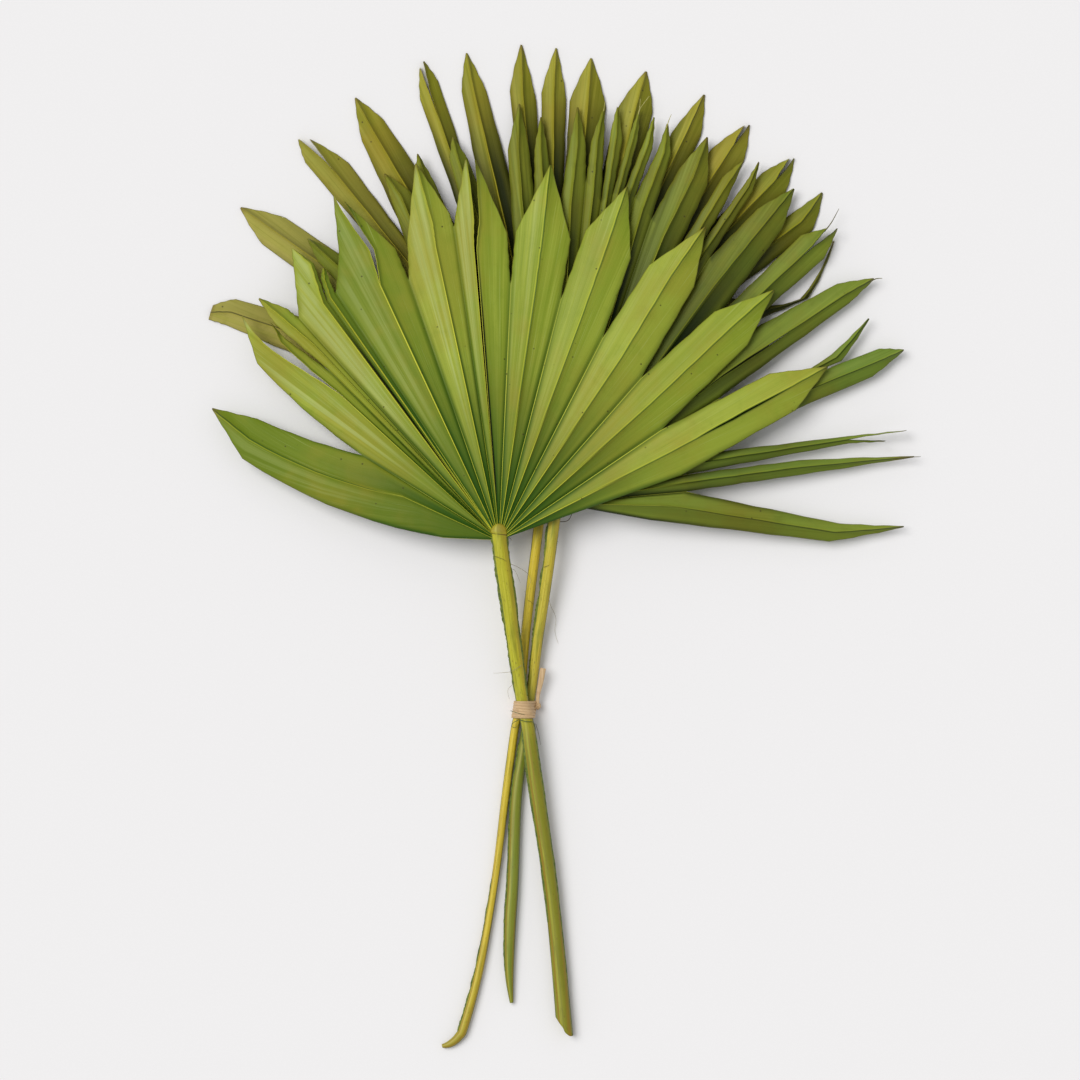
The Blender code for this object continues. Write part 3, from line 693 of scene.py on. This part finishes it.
def thread_shape(path, radius):
    """A fine round thread along a path, thinner at its far end."""
    points = []
    steps = THREAD_STEPS * len(path)
    for row in range(steps + 1):
        place = (len(path) - 1) * row / steps
        centre = curve_point(path, place)
        tangent = heading(path, place)
        side = beside(tangent)
        up = np.cross(side, tangent)
        size = radius * (1.0 - THREAD_TAPER * row / steps)
        for corner in range(THREAD_SIDES):
            angle = 2.0 * math.pi * corner / THREAD_SIDES
            points.append(centre + (side * math.cos(angle) + up * math.sin(angle)) * size)
    return points, rod_faces(steps + 1, THREAD_SIDES)


# Objects

def placed(name, data):
    made = bpy.data.objects.new(name, data)
    bpy.context.scene.collection.objects.link(made)
    return made


def piece_from(name, points, faces, material, values=None, replaces=None, corners=None):
    """A mesh object that rides on the bunch; values are given by point, or by spot with corners."""
    mesh = bpy.data.meshes.new(name)
    places = (np.asarray(points, float) + BUNCH_PLACE) * MM
    mesh.from_pydata(places.tolist(), [], faces)
    mesh.materials.append(material)
    domain = "CORNER" if corners else "POINT"
    spots = [spot for face in corners for spot in face] if corners else range(len(points))
    for key, rows in (values or {}).items():
        data = np.asarray(rows, np.float32)[list(spots)]
        kind, field = ("FLOAT_VECTOR", "vector") if data.ndim == 2 else ("FLOAT", "value")
        layer = mesh.attributes.new(key, kind, domain)
        layer.data.foreach_set(field, data.ravel())
    mesh.shade_smooth()
    made = placed(name, mesh)
    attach(made, "root")
    if replaces:
        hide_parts(replaces)
    return made


# Materials

MIX_COLOUR_INPUTS = (0, 6, 7)    # factor, first colour and second colour of a mix node
MIX_COLOUR_OUTPUT = 2


class Shader:
    """Builds one material's nodes by short calls and keeps the colour painted so far."""

    def __init__(self, name, colour=(0, 0, 0)):
        self.material = bpy.data.materials.new(name)
        self.material.use_nodes = True
        self.tree = self.material.node_tree
        self.surface = self.tree.nodes["Principled BSDF"]
        self.colour = linear(colour)

    def link(self, source, target):
        """Joins a socket to another, or sets a plain value on it."""
        if isinstance(source, bpy.types.NodeSocket):
            self.tree.links.new(source, target)
        else:
            target.default_value = source

    def node(self, kind, given=(), **settings):
        """A new node; a dict names the inputs that it sets, and a tuple follows their order."""
        made = self.tree.nodes.new(kind)
        for key, value in settings.items():
            setattr(made, key, value)
        for key, value in given.items() if isinstance(given, dict) else enumerate(given):
            self.link(value, made.inputs[key])
        return made

    def read(self, name):
        made = self.node("ShaderNodeAttribute", attribute_name=name)
        return made.outputs["Vector" if name in ("fibre", "fan") else "Fac"]

    def math(self, operation, first, second=0.0):
        return self.node("ShaderNodeMath", (first, second), operation=operation).outputs[0]

    def size(self, value):
        return self.math("ABSOLUTE", value)

    def span(self, value, low, high, out_low=0.0, out_high=1.0):
        given = (value, low, high, out_low, out_high)
        return self.node("ShaderNodeMapRange", given, interpolation_type="SMOOTHSTEP").outputs[0]

    def times(self, *shares):
        """Product of shares, each a number, a socket or, as a tuple, what span takes."""
        given = [self.span(*share) if isinstance(share, tuple) else share for share in shares]
        product = given[0]
        for share in given[1:]:
            product = self.math("MULTIPLY", product, share)
        return product

    def rest(self, share):
        return self.math("SUBTRACT", 1.0, share)

    def mix(self, share, first, second):
        given = dict(zip(MIX_COLOUR_INPUTS, (share, first, second)))
        return self.node("ShaderNodeMix", given, data_type="RGBA").outputs[MIX_COLOUR_OUTPUT]

    def paint(self, colour, *shares):
        """Lays a colour over what is painted so far, by the product of some shares."""
        self.colour = self.mix(self.times(*shares), self.colour, linear(colour))

    def noise(self, vector, scale, detail=3.0, roughness=0.55, stretch=None):
        """Noise over a vector, which a stretch multiplies first."""
        if stretch:
            pulled = self.node("ShaderNodeVectorMath", (vector, stretch), operation="MULTIPLY")
            vector = pulled.outputs[0]
        given = {"Vector": vector, "Scale": scale, "Detail": detail, "Roughness": roughness}
        return self.node("ShaderNodeTexNoise", given).outputs[0]

    def place(self):
        return self.node("ShaderNodeTexCoord").outputs["Object"]

    def bump(self, height, strength, distance):
        made = self.node("ShaderNodeBump", dict(Strength=strength, Distance=distance, Height=height))
        self.link(made.outputs[0], self.surface.inputs["Normal"])

    def finish(self, roughness, specular=None):
        self.link(self.colour, self.surface.inputs["Base Color"])
        self.link(self.times(roughness), self.surface.inputs["Roughness"])
        if specular is not None:
            self.surface.inputs["Specular IOR Level"].default_value = specular
        return self.material


def linear(colour):
    """Linear colour from the 0 to 255 values that a screen shows."""
    shares = [value / 255.0 for value in colour]
    return (*(s / 12.92 if s <= 0.04045 else ((s + 0.055) / 1.055) ** 2.4 for s in shares), 1.0)


def leaf_material(name, base, sides, cracked, bleached, body, light, shade, deep, line, dry, cool,
                  pale, green):
    """Pleated palm leaf: bands and veins along it, lines on its folds, specks and dry tips.

    Base gives the distances between which the deep colour of the folds fades, a colour that is partly
    the leaf's own deeper green and partly painted shade, and sides how much of it the leaf's left and
    right have. Cracked lists the places of cracks in the fan, which are painted near black as shade.
    """
    made = Shader(name, shade)
    lean, cross, valley, distance, reach, free, tone, turn, fan = map(made.read, LEAF_VALUES)
    broad = made.noise(fan, 1.0, 3.0, 0.55, (0.24, 0.006, 1.0))
    veins = made.noise(fan, 1.0, 4.0, 0.7, (0.95, 0.006, 1.0))
    threads = made.noise(fan, 1.0, 2.0, 0.5, (6.0, 0.02, 1.0))
    streaks = made.noise(fan, 1.0, 2.0, 0.5, (0.42, 0.004, 1.0))
    scratches = made.noise(fan, 1.0, 3.0, 0.6, (2.4, 0.012, 1.0))
    patches = made.noise(made.place(), 15.0, 4.0, 0.65)
    mottle = made.noise(made.place(), 90.0, 3.0, 0.6)

    # Bands, veins and shades of the sheet; a painted highlight on the left of each ridge, which faces
    # the light; painted shade on the right halves, which face away from it; threads and scratches
    made.paint(light, (broad, 0.36, 0.64))
    made.paint(body, (veins, 0.3, 0.7, 0.1, 0.6))
    made.paint(shade, (veins, 0.52, 0.6), 0.45)
    made.paint(light, (veins, 0.46, 0.4), 0.42)
    made.paint(cool, (turn, 0.62, 0.86), 0.75)
    made.paint(light, (tone, 0.4, 1.0), 0.4)
    made.paint(green, (tone, 0.35, 0.0), 0.8)
    made.paint(dry, (patches, 0.42, 0.68), 0.55)
    made.paint(BLEACHED, (turn, 0.2, 0.07), bleached)
    made.paint(shade, (mottle, 0.5, 0.8), 0.3)
    # Painted highlight: a pale shine on the left of each ridge, weaker on the right of the fan
    shine = made.times((lean, -0.03, -0.3), (lean, -1.0, -0.6))
    far = made.span(distance, 45.0, 110.0, 0.15, 1.0)
    left_fan = made.times((turn, 0.62, 0.68, 0.5, 0.12), (tone, 0.0, 0.3, 0.35, 1.0))
    made.paint(pale, shine, (streaks, 0.42, 0.62), far, left_fan)
    # Painted shade on the right half of each segment, which faces away from the light
    made.paint(shade, (lean, 0.0, 0.25), 0.3)
    made.paint(shade, (threads, 0.5, 0.75), 0.3)
    made.paint(shade, (scratches, 0.58, 0.68), 0.4)
    made.paint(pale, (scratches, 0.4, 0.3), 0.35)

    # Painted shade in deep colour: towards the base, partly the leaf's own deeper green and partly the
    # shade of the folds and of the leaves that lie above; in the valleys; beside the ribs on their unlit
    # side; and cracks, painted near black for the shade inside them
    low, high = base
    kept = made.times((turn, 0.05, 0.3, sides[0], 1.0), (turn, 0.72, 0.84, 1.0, sides[1]))
    near = made.times((distance, high, low), kept)
    on_left = made.span(lean, 0.0, -0.02)
    made.paint(deep, near, made.times((lean, 0.0, 0.1), (lean, 1.15, 0.35)))
    made.paint(deep, (distance, high * 0.85, low), kept, on_left, 0.5)
    # Painted shade in the valleys of the joined part
    made.paint(deep, made.rest(free), (valley, 3.5, 0.3), (distance, 190.0, 20.0, 0.3, 0.95))
    lit_ribs = made.times((turn, 0.63, 0.59), (turn, 0.05, 0.09))
    # Painted shade beside each rib on the left of the fan, on the side away from the light
    shade_beside_rib = made.times((cross, 0.15, 0.7), (cross, 3.0, 0.7), lit_ribs)
    made.paint(deep, shade_beside_rib, (distance, 230.0, 60.0, 0.25, 0.9))
    # Cracks: real splits beside the ribs, painted near black for the shade inside them
    crack = made.times((cross, 0.25, 0.5), (cross, 2.2, 1.3), (distance, 175.0, 120.0),
                       (distance, 12.0, 34.0))
    for place in cracked:
        made.paint(CRACK_SHADE, crack, (made.size(made.math("SUBTRACT", turn, place)), 0.04, 0.02))

    # Lines on the ribs and in the creases: yellow near the base; painted lit on the left of the fan,
    # where the ribs face the light, and elsewhere painted dark as shade, with a painted light band on
    # their left
    from_rib = made.size(cross)
    line_width = made.span(distance, 8.0, 130.0, 0.26, 0.48)
    on_rib = made.span(from_rib, line_width, made.times(line_width, 0.5))
    close = made.span(distance, 85.0, 40.0)
    lit = made.math("MAXIMUM", made.times(lit_ribs, (distance, 210.0, 110.0, 0.45, 0.95)), close)
    unlit = made.rest(lit)
    made.paint(deep, on_rib, unlit, 0.7)
    beside_line = made.times((from_rib, 0.5, 0.8), (from_rib, 1.3, 0.9), on_left)
    made.paint(line, beside_line, unlit, 0.32)
    made.paint(line, on_rib, lit)
    in_crease = made.times((valley, made.times(line_width, 1.2), made.times(line_width, 0.6)),
                           on_left, (free, 0.12, 0.0))
    far_crease = made.times(made.rest(lit_ribs), (distance, 150.0, 80.0, 0.3, 0.8))
    made.paint(line, in_crease, made.math("MAXIMUM", far_crease, made.times(close, 0.9)))

    # Specks, painted shade on folds that lie under their neighbours, cut edges and dry tips
    specks = made.node("ShaderNodeTexVoronoi", dict(Vector=made.place(), Scale=120.0), feature="F1")
    rare = made.noise(made.place(), 55.0, 1.0)
    made.paint(LEAF_SPECK, (specks.outputs["Distance"], 0.085, 0.045), (rare, 0.45, 0.51), 0.75)
    # Painted shade where a freed fold lies under its neighbour
    made.paint(deep, near, (valley, 6.0, 0.6), (free, 0.0, 0.05), 0.85)
    made.paint(CUT_EDGE, (valley, 0.5, 0.15), (free, 0.02, 0.1), 0.55)
    made.paint(DRY_TIP, (reach, 0.94, 1.0), (patches, 0.3, 0.6), 0.6)
    made.bump(made.math("ADD", made.times(veins, 0.8), made.times(threads, 0.35)), 0.4, 0.0005)
    return made.finish((veins, 0.2, 0.8, 0.45, 0.62), 0.18)


def stalk_material(name, greens, body, light, margin, end, gold):
    """Dried stalk: yellow green with fine grain, a dark collar line and a browner end.

    Greens is the share of its length from which it turns to its end's colour.
    """
    made = Shader(name, body)
    around, reach, fibre = map(made.read, ("around", "reach", "fibre"))
    grain = made.noise(fibre, 1.6, 4.0, 0.6, (1.0, 1.0, 0.025))
    patches = made.noise(fibre, 1.0, 3.0, 0.5, (0.3, 0.3, 0.05))
    streak = made.noise(fibre, 1.0, 2.0, 0.5, (0.55, 0.55, 0.008))
    flecks = made.noise(fibre, 1.3, 2.0, 0.6, (1.2, 1.2, 0.35))
    made.paint(light, (grain, 0.38, 0.62))
    made.paint(end, (grain, 0.55, 0.66), 0.4)
    made.paint(end, (patches, 0.45, 0.7), 0.55)
    made.paint(gold, (around, -0.1, 0.8, 0.0, 0.55))
    made.paint(end, (reach, greens, greens + 0.2), 0.8)
    made.paint(WORN_STALK, (streak, 0.5, 0.62), (reach, 0.5, 0.8), 0.7)
    ragged = made.math("ADD", made.size(around), made.span(patches, 0.2, 0.8, -0.08, 0.08))
    made.paint(margin, (ragged, 0.84, 0.93), 0.8)
    made.paint(HASTULA_END, (reach, COLLAR_REACH, 0.05), 0.5)
    crest = made.math("SUBTRACT", made.math("SUBTRACT", reach, COLLAR_REACH), made.times(around, 0.009))
    made.paint(COLLAR_LINE, (made.size(crest), 0.0035, 0.001), 0.8)
    made.paint(STALK_FLECK, (flecks, 0.62, 0.7), 0.65)
    # Painted highlight: a pale streak along the stalk, where it catches the light
    highlight_streak = made.size(made.math("ADD", around, 0.3))
    made.paint(light, (highlight_streak, 0.2, 0.05), (grain, 0.35, 0.6), 0.4)
    made.bump(grain, 0.3, 0.0004)
    return made.finish((grain, 0.2, 0.8, 0.34, 0.52), 0.35)


def raffia_material():
    made = Shader("raffia", (180, 146, 100))
    strands = made.noise(made.read("fibre"), 1.0, 4.0, 0.65, (5.5, 0.06, 1.0))
    patches = made.noise(made.place(), 300.0, 2.0)
    made.paint((220, 190, 148), (strands, 0.3, 0.7))
    made.paint((166, 120, 76), (patches, 0.5, 0.8), 0.4)
    # Painted shade in the grooves between the turns of the band
    groove = made.size(made.math("SUBTRACT", made.read("wind"), 0.5))
    made.paint((140, 98, 58), (groove, 0.4, 0.5), 0.8)
    made.bump(strands, 0.6, 0.0004)
    return made.finish((strands, 0.2, 0.8, 0.5, 0.72))


def thread_material(name, colour, other):
    made = Shader(name, colour)
    mottle = made.noise(made.place(), 420.0)
    made.paint(other, (mottle, 0.35, 0.65))
    return made.finish((mottle, 0.2, 0.8, 0.5, 0.75))


# Build

def build_blades(chance):
    front = leaf_material(
        "leaf_front", base=(10.0, 135.0), sides=(1.0, 1.0), cracked=(0.27, 0.577), bleached=0.0,
        body=(140, 155, 40), light=(164, 174, 66), shade=(112, 132, 26), deep=(40, 78, 6),
        line=(206, 206, 66), dry=(150, 138, 44), cool=(144, 157, 48), pale=(176, 188, 116),
        green=(92, 112, 16))
    middle = leaf_material(
        "leaf_middle", base=(115.0, 230.0), sides=(1.0, 0.25), cracked=(), bleached=0.0,
        body=(118, 127, 26), light=(140, 148, 42), shade=(84, 94, 14), deep=(20, 32, 2),
        line=(152, 154, 48), dry=(124, 112, 24), cool=(102, 132, 48), pale=(132, 146, 60),
        green=(80, 98, 20))
    back = leaf_material(
        "leaf_back", base=(150.0, 225.0), sides=(0.15, 1.0), cracked=(), bleached=0.45,
        body=(136, 135, 26), light=(162, 156, 54), shade=(108, 110, 14), deep=(34, 40, 3),
        line=(180, 168, 46), dry=(150, 130, 34), cool=(112, 122, 26), pale=(156, 154, 62),
        green=(92, 100, 16))
    slots = ("leaf_front", "leaf_middle", "leaf_back")
    for leaf, material, slot in zip(LEAVES, (front, middle, back), slots):
        points, triangles, point_of, values = blade_surface(leaf, chance)
        points, faces, corners = thickened(points, triangles, point_of, BLADE_THICKNESS)
        piece_from(leaf.name + "_fine", points, faces, material, values, leaf.name, corners)


def build_stalks(chance):
    looks = (
        (FRONT_STALK, dict(greens=0.5, body=(166, 163, 30), light=(188, 184, 50),
                           margin=(62, 84, 14), end=(112, 114, 22), gold=(172, 146, 32))),
        (MIDDLE_STALK, dict(greens=0.34, body=(178, 162, 42), light=(200, 186, 68),
                            margin=(58, 82, 18), end=(100, 120, 30), gold=(184, 158, 46))),
        (BACK_STALK, dict(greens=0.7, body=(194, 170, 36), light=(214, 192, 58),
                          margin=(64, 80, 18), end=(140, 132, 32), gold=(208, 178, 48))),
    )
    for stalk, look in looks:
        points, faces, values = stalk_shape(stalk)
        material = stalk_material(stalk.name, **look)
        piece_from(stalk.name + "_fine", points, faces, material, values, stalk.name)
    skin = thread_material("stalk_skin", (66, 86, 14), (110, 122, 34))
    flanges = (
        ("skin_front_left", FRONT_STALK, -1, 0.1, 4.6, 1.1),
        ("skin_front_right", FRONT_STALK, 1, 0.1, 4.8, 0.7),
        ("skin_middle_left", MIDDLE_STALK, -1, 0.8, 5.4, 1.1),
        ("skin_low_right", FRONT_STALK, 1, 7.6, 11.4, 0.35),
        ("skin_low_left", FRONT_STALK, -1, 7.2, 10.6, 0.4),
        ("skin_middle_low", MIDDLE_STALK, -1, 8.6, 13.4, 0.5),
        ("skin_back_low", BACK_STALK, -1, 11.0, 13.4, 0.6),
    )
    for name, *given in flanges:
        points, faces = flange_shape(*given, chance)
        piece_from(name, points, faces, skin)


def fibre_from_tip(leaf, number, steps):
    """Path of a torn fibre: from the ridge just before a segment's tip, by steps over the paper."""
    tip = np.asarray(leaf.segments[number].tip, float)
    place = tip * (1.0 - FIBRE_START / length(tip))
    x, y = np.add(leaf.hastula, place)
    z = dome(x, y) + leaf.height + pleat(FIBRE_START, 1.0)
    path = [(x, y, z)]
    for step in steps:
        x, y, z = np.add(path[-1], step)
        path.append((x, y, z))
    return path


def build_fibres():
    """Fine hairs torn from the leaves and stalks, each from where it grows to its loose end."""
    dark = thread_material("dark_hair", (52, 40, 20), (86, 70, 36))
    pale = thread_material("pale_hair", (128, 116, 84), (160, 148, 110))
    green = thread_material("green_thread", (36, 62, 26), (66, 92, 40))
    straw = thread_material("torn_fibre", (150, 146, 70), (190, 184, 110))
    brown = thread_material("torn_rib", (74, 70, 24), (110, 104, 40))
    hairs = (
        ("hair_on_front", dark, 0.16,
         ((-41.6, -4.4, 25.4), (-39.5, -5.0, 26.2), (-36.4, -6.2, 26.2), (-34.4, -7.4, 24.9))),
        ("hair_loose_a", pale, 0.14,
         ((-32.0, -9.0, 22.0), (-28.0, -10.6, 19.0), (-22.0, -14.6, 13.6), (-19.9, -18.6, 12.4),
          (-21.4, -22.8, 12.2), (-23.7, -25.8, 8.0))),
        ("hair_loose_b", pale, 0.12, ((-31.0, -12.0, 21.4), (-29.0, -13.5, 16.0), (-26.1, -20.6, 6.0))),
        ("hair_on_back", dark, 0.15, ((-21.6, -31.0, 9.6), (-20.4, -31.4, 9.9), (-18.4, -33.1, 8.8))),
        ("hair_on_middle", dark, 0.14, ((-12.1, -10.9, 15.6), (-10.0, -10.2, 16.4), (-7.4, -8.8, 15.6))),
        ("hair_long", pale, 0.12,
         ((-9.4, -28.0, 12.6), (-8.0, -34.1, 9.0), (-4.9, -41.3, 3.0), (-5.4, -49.6, 0.5),
          (-3.4, -56.9, 0.3))),
        ("hair_black_loop", dark, 0.3,
         ((-4.4, 17.6, 16.5), (-1.8, 16.4, 13.0), (2.3, 17.1, 9.0), (4.4, 20.2, 7.6), (5.6, 24.0, 8.0))),
        ("hair_short", dark, 0.16, ((-6.0, 5.2, 15.4), (-4.4, 4.6, 14.0), (-3.2, 4.2, 12.4))),
        ("hair_collar", dark, 0.2, ((-33.8, 7.0, 24.0), (-32.4, 6.4, 22.6), (-31.2, 5.2, 20.8))),
        ("hair_left", pale, 0.14,
         ((-25.6, -69.8, 17.4), (-31.8, -73.4, 17.2), (-37.0, -74.2, 12.0), (-42.4, -74.7, 5.0))),
        ("hair_left_low", pale, 0.12, ((-29.4, -80.0, 14.6), (-33.6, -84.6, 9.0), (-32.8, -90.4, 4.0))),
    )
    threads = (
        ("thread_tie", green, 0.2,
         ((-32.0, -97.0, 13.2), (-29.0, -98.0, 15.0), (-25.4, -98.9, 15.7), (-23.4, -99.4, 15.8))),
        ("thread_down", green, 0.24,
         ((-26.4, -102.4, 15.2), (-23.0, -103.4, 15.6), (-18.6, -103.8, 14.0), (-17.4, -106.4, 11.0),
          (-16.8, -109.4, 7.0))),
        ("thread_loop", green, 0.2,
         ((-27.4, -102.6, 12.4), (-30.8, -104.6, 10.0), (-31.0, -106.9, 7.4), (-28.6, -107.0, 7.6),
          (-27.2, -105.0, 11.0))),
        ("thread_low", dark, 0.16, ((-17.0, -104.8, 11.6), (-15.4, -110.4, 9.6), (-14.0, -117.6, 9.0))),
    )
    # Each with the number of its segment of the middle leaf, and the steps that it takes
    torn = (
        ("fibre_fork_long", straw, 0.32, 11, ((1.4, 4.0, 0.3), (5.2, 7.0, 0.4))),
        ("fibre_fork_short", straw, 0.26, 11, ((0.8, 4.6, 0.4), (0.4, 4.8, 0.6))),
        ("fibre_straight", straw, 0.3, 13, ((1.6, 4.6, 0.2), (1.4, 3.4, 0.3))),
        ("fibre_left", straw, 0.28, 9, ((0.4, 3.4, 0.2), (0.3, 2.6, 0.2))),
        ("fibre_long_rib", brown, 0.4, 18, ((4.2, 5.4, -0.6), (4.6, 8.4, -1.0))),
        ("fibre_right_rib", brown, 0.4, 19, ((3.6, 1.4, -0.3), (3.4, 0.2, -0.4))),
        ("fibre_low_rib", brown, 0.3, 23, ((3.4, 0.2, -0.2), (3.2, 0.1, -0.3))),
    )
    fibres = tuple((*given[:3], fibre_from_tip(MIDDLE_LEAF, *given[3:])) for given in torn)
    for name, material, radius, path in hairs + fibres + threads:
        points, faces = thread_shape(path, radius)
        piece_from(name, points, faces, material)


def build_tie(raffia):
    points, faces, values = band_shape()
    piece_from("raffia_band", points, faces, raffia, values, "raffia_tie")
    points, faces = knot_shape()
    values = {"wind": [0.5] * len(points), "fibre": [(4 * p[2], p[0], 0.0) for p in points]}
    piece_from("raffia_knot", points, faces, raffia, values)
    points, faces = tail_shape()
    values = {"wind": [0.5] * len(points), "fibre": [(float(p[0]), float(p[1]), 0.0) for p in points]}
    piece_from("raffia_tail", points, faces, raffia, values)


def build_floor():
    mesh = bpy.data.meshes.new("floor")
    far = FLOOR_REACH * MM
    mesh.from_pydata([(-far, -far, 0), (far, -far, 0), (far, far, 0), (-far, far, 0)], [], [(0, 1, 2, 3)])
    made = Shader("paper_floor")
    flecks = made.span(made.noise(made.place(), 900.0, 2.0), 0.3, 0.7)
    made.colour = made.mix(flecks, BACKGROUND, FLOOR_FLECK)
    mesh.materials.append(made.finish(0.9, 0.1))
    placed("floor", mesh)


def build_light():
    world = bpy.data.worlds.new("soft_room")
    bpy.context.scene.world = world
    world.use_nodes = True
    sky = world.node_tree.nodes["Background"]
    sky.inputs["Color"].default_value = ROOM_COLOUR
    sky.inputs["Strength"].default_value = ROOM_LIGHT
    lamp = bpy.data.lights.new("window", "SUN")
    lamp.angle = math.radians(WINDOW_SPREAD)
    lamp.energy = WINDOW_LIGHT
    lamp.color = WINDOW_COLOUR
    window = placed("window", lamp)
    window.rotation_euler = (0.0, math.radians(90.0 - WINDOW_HEIGHT), math.radians(WINDOW_SIDE))


def build_camera():
    data = bpy.data.cameras.new("camera")
    data.lens = LENS
    data.sensor_width = SENSOR
    camera = placed("camera", data)
    height = PICTURE_WIDTH * LENS / SENSOR + LEAF_LEVEL
    camera.location = (PICTURE_CENTRE[0] * MM, PICTURE_CENTRE[1] * MM, height * MM)
    bpy.context.scene.camera = camera
    bpy.context.scene.view_settings.view_transform = "Standard"


def main():
    chance = np.random.default_rng(SEED)
    build_camera()
    build_light()
    build_floor()
    build_blades(chance)
    build_stalks(chance)
    build_fibres()
    build_tie(raffia_material())


main()
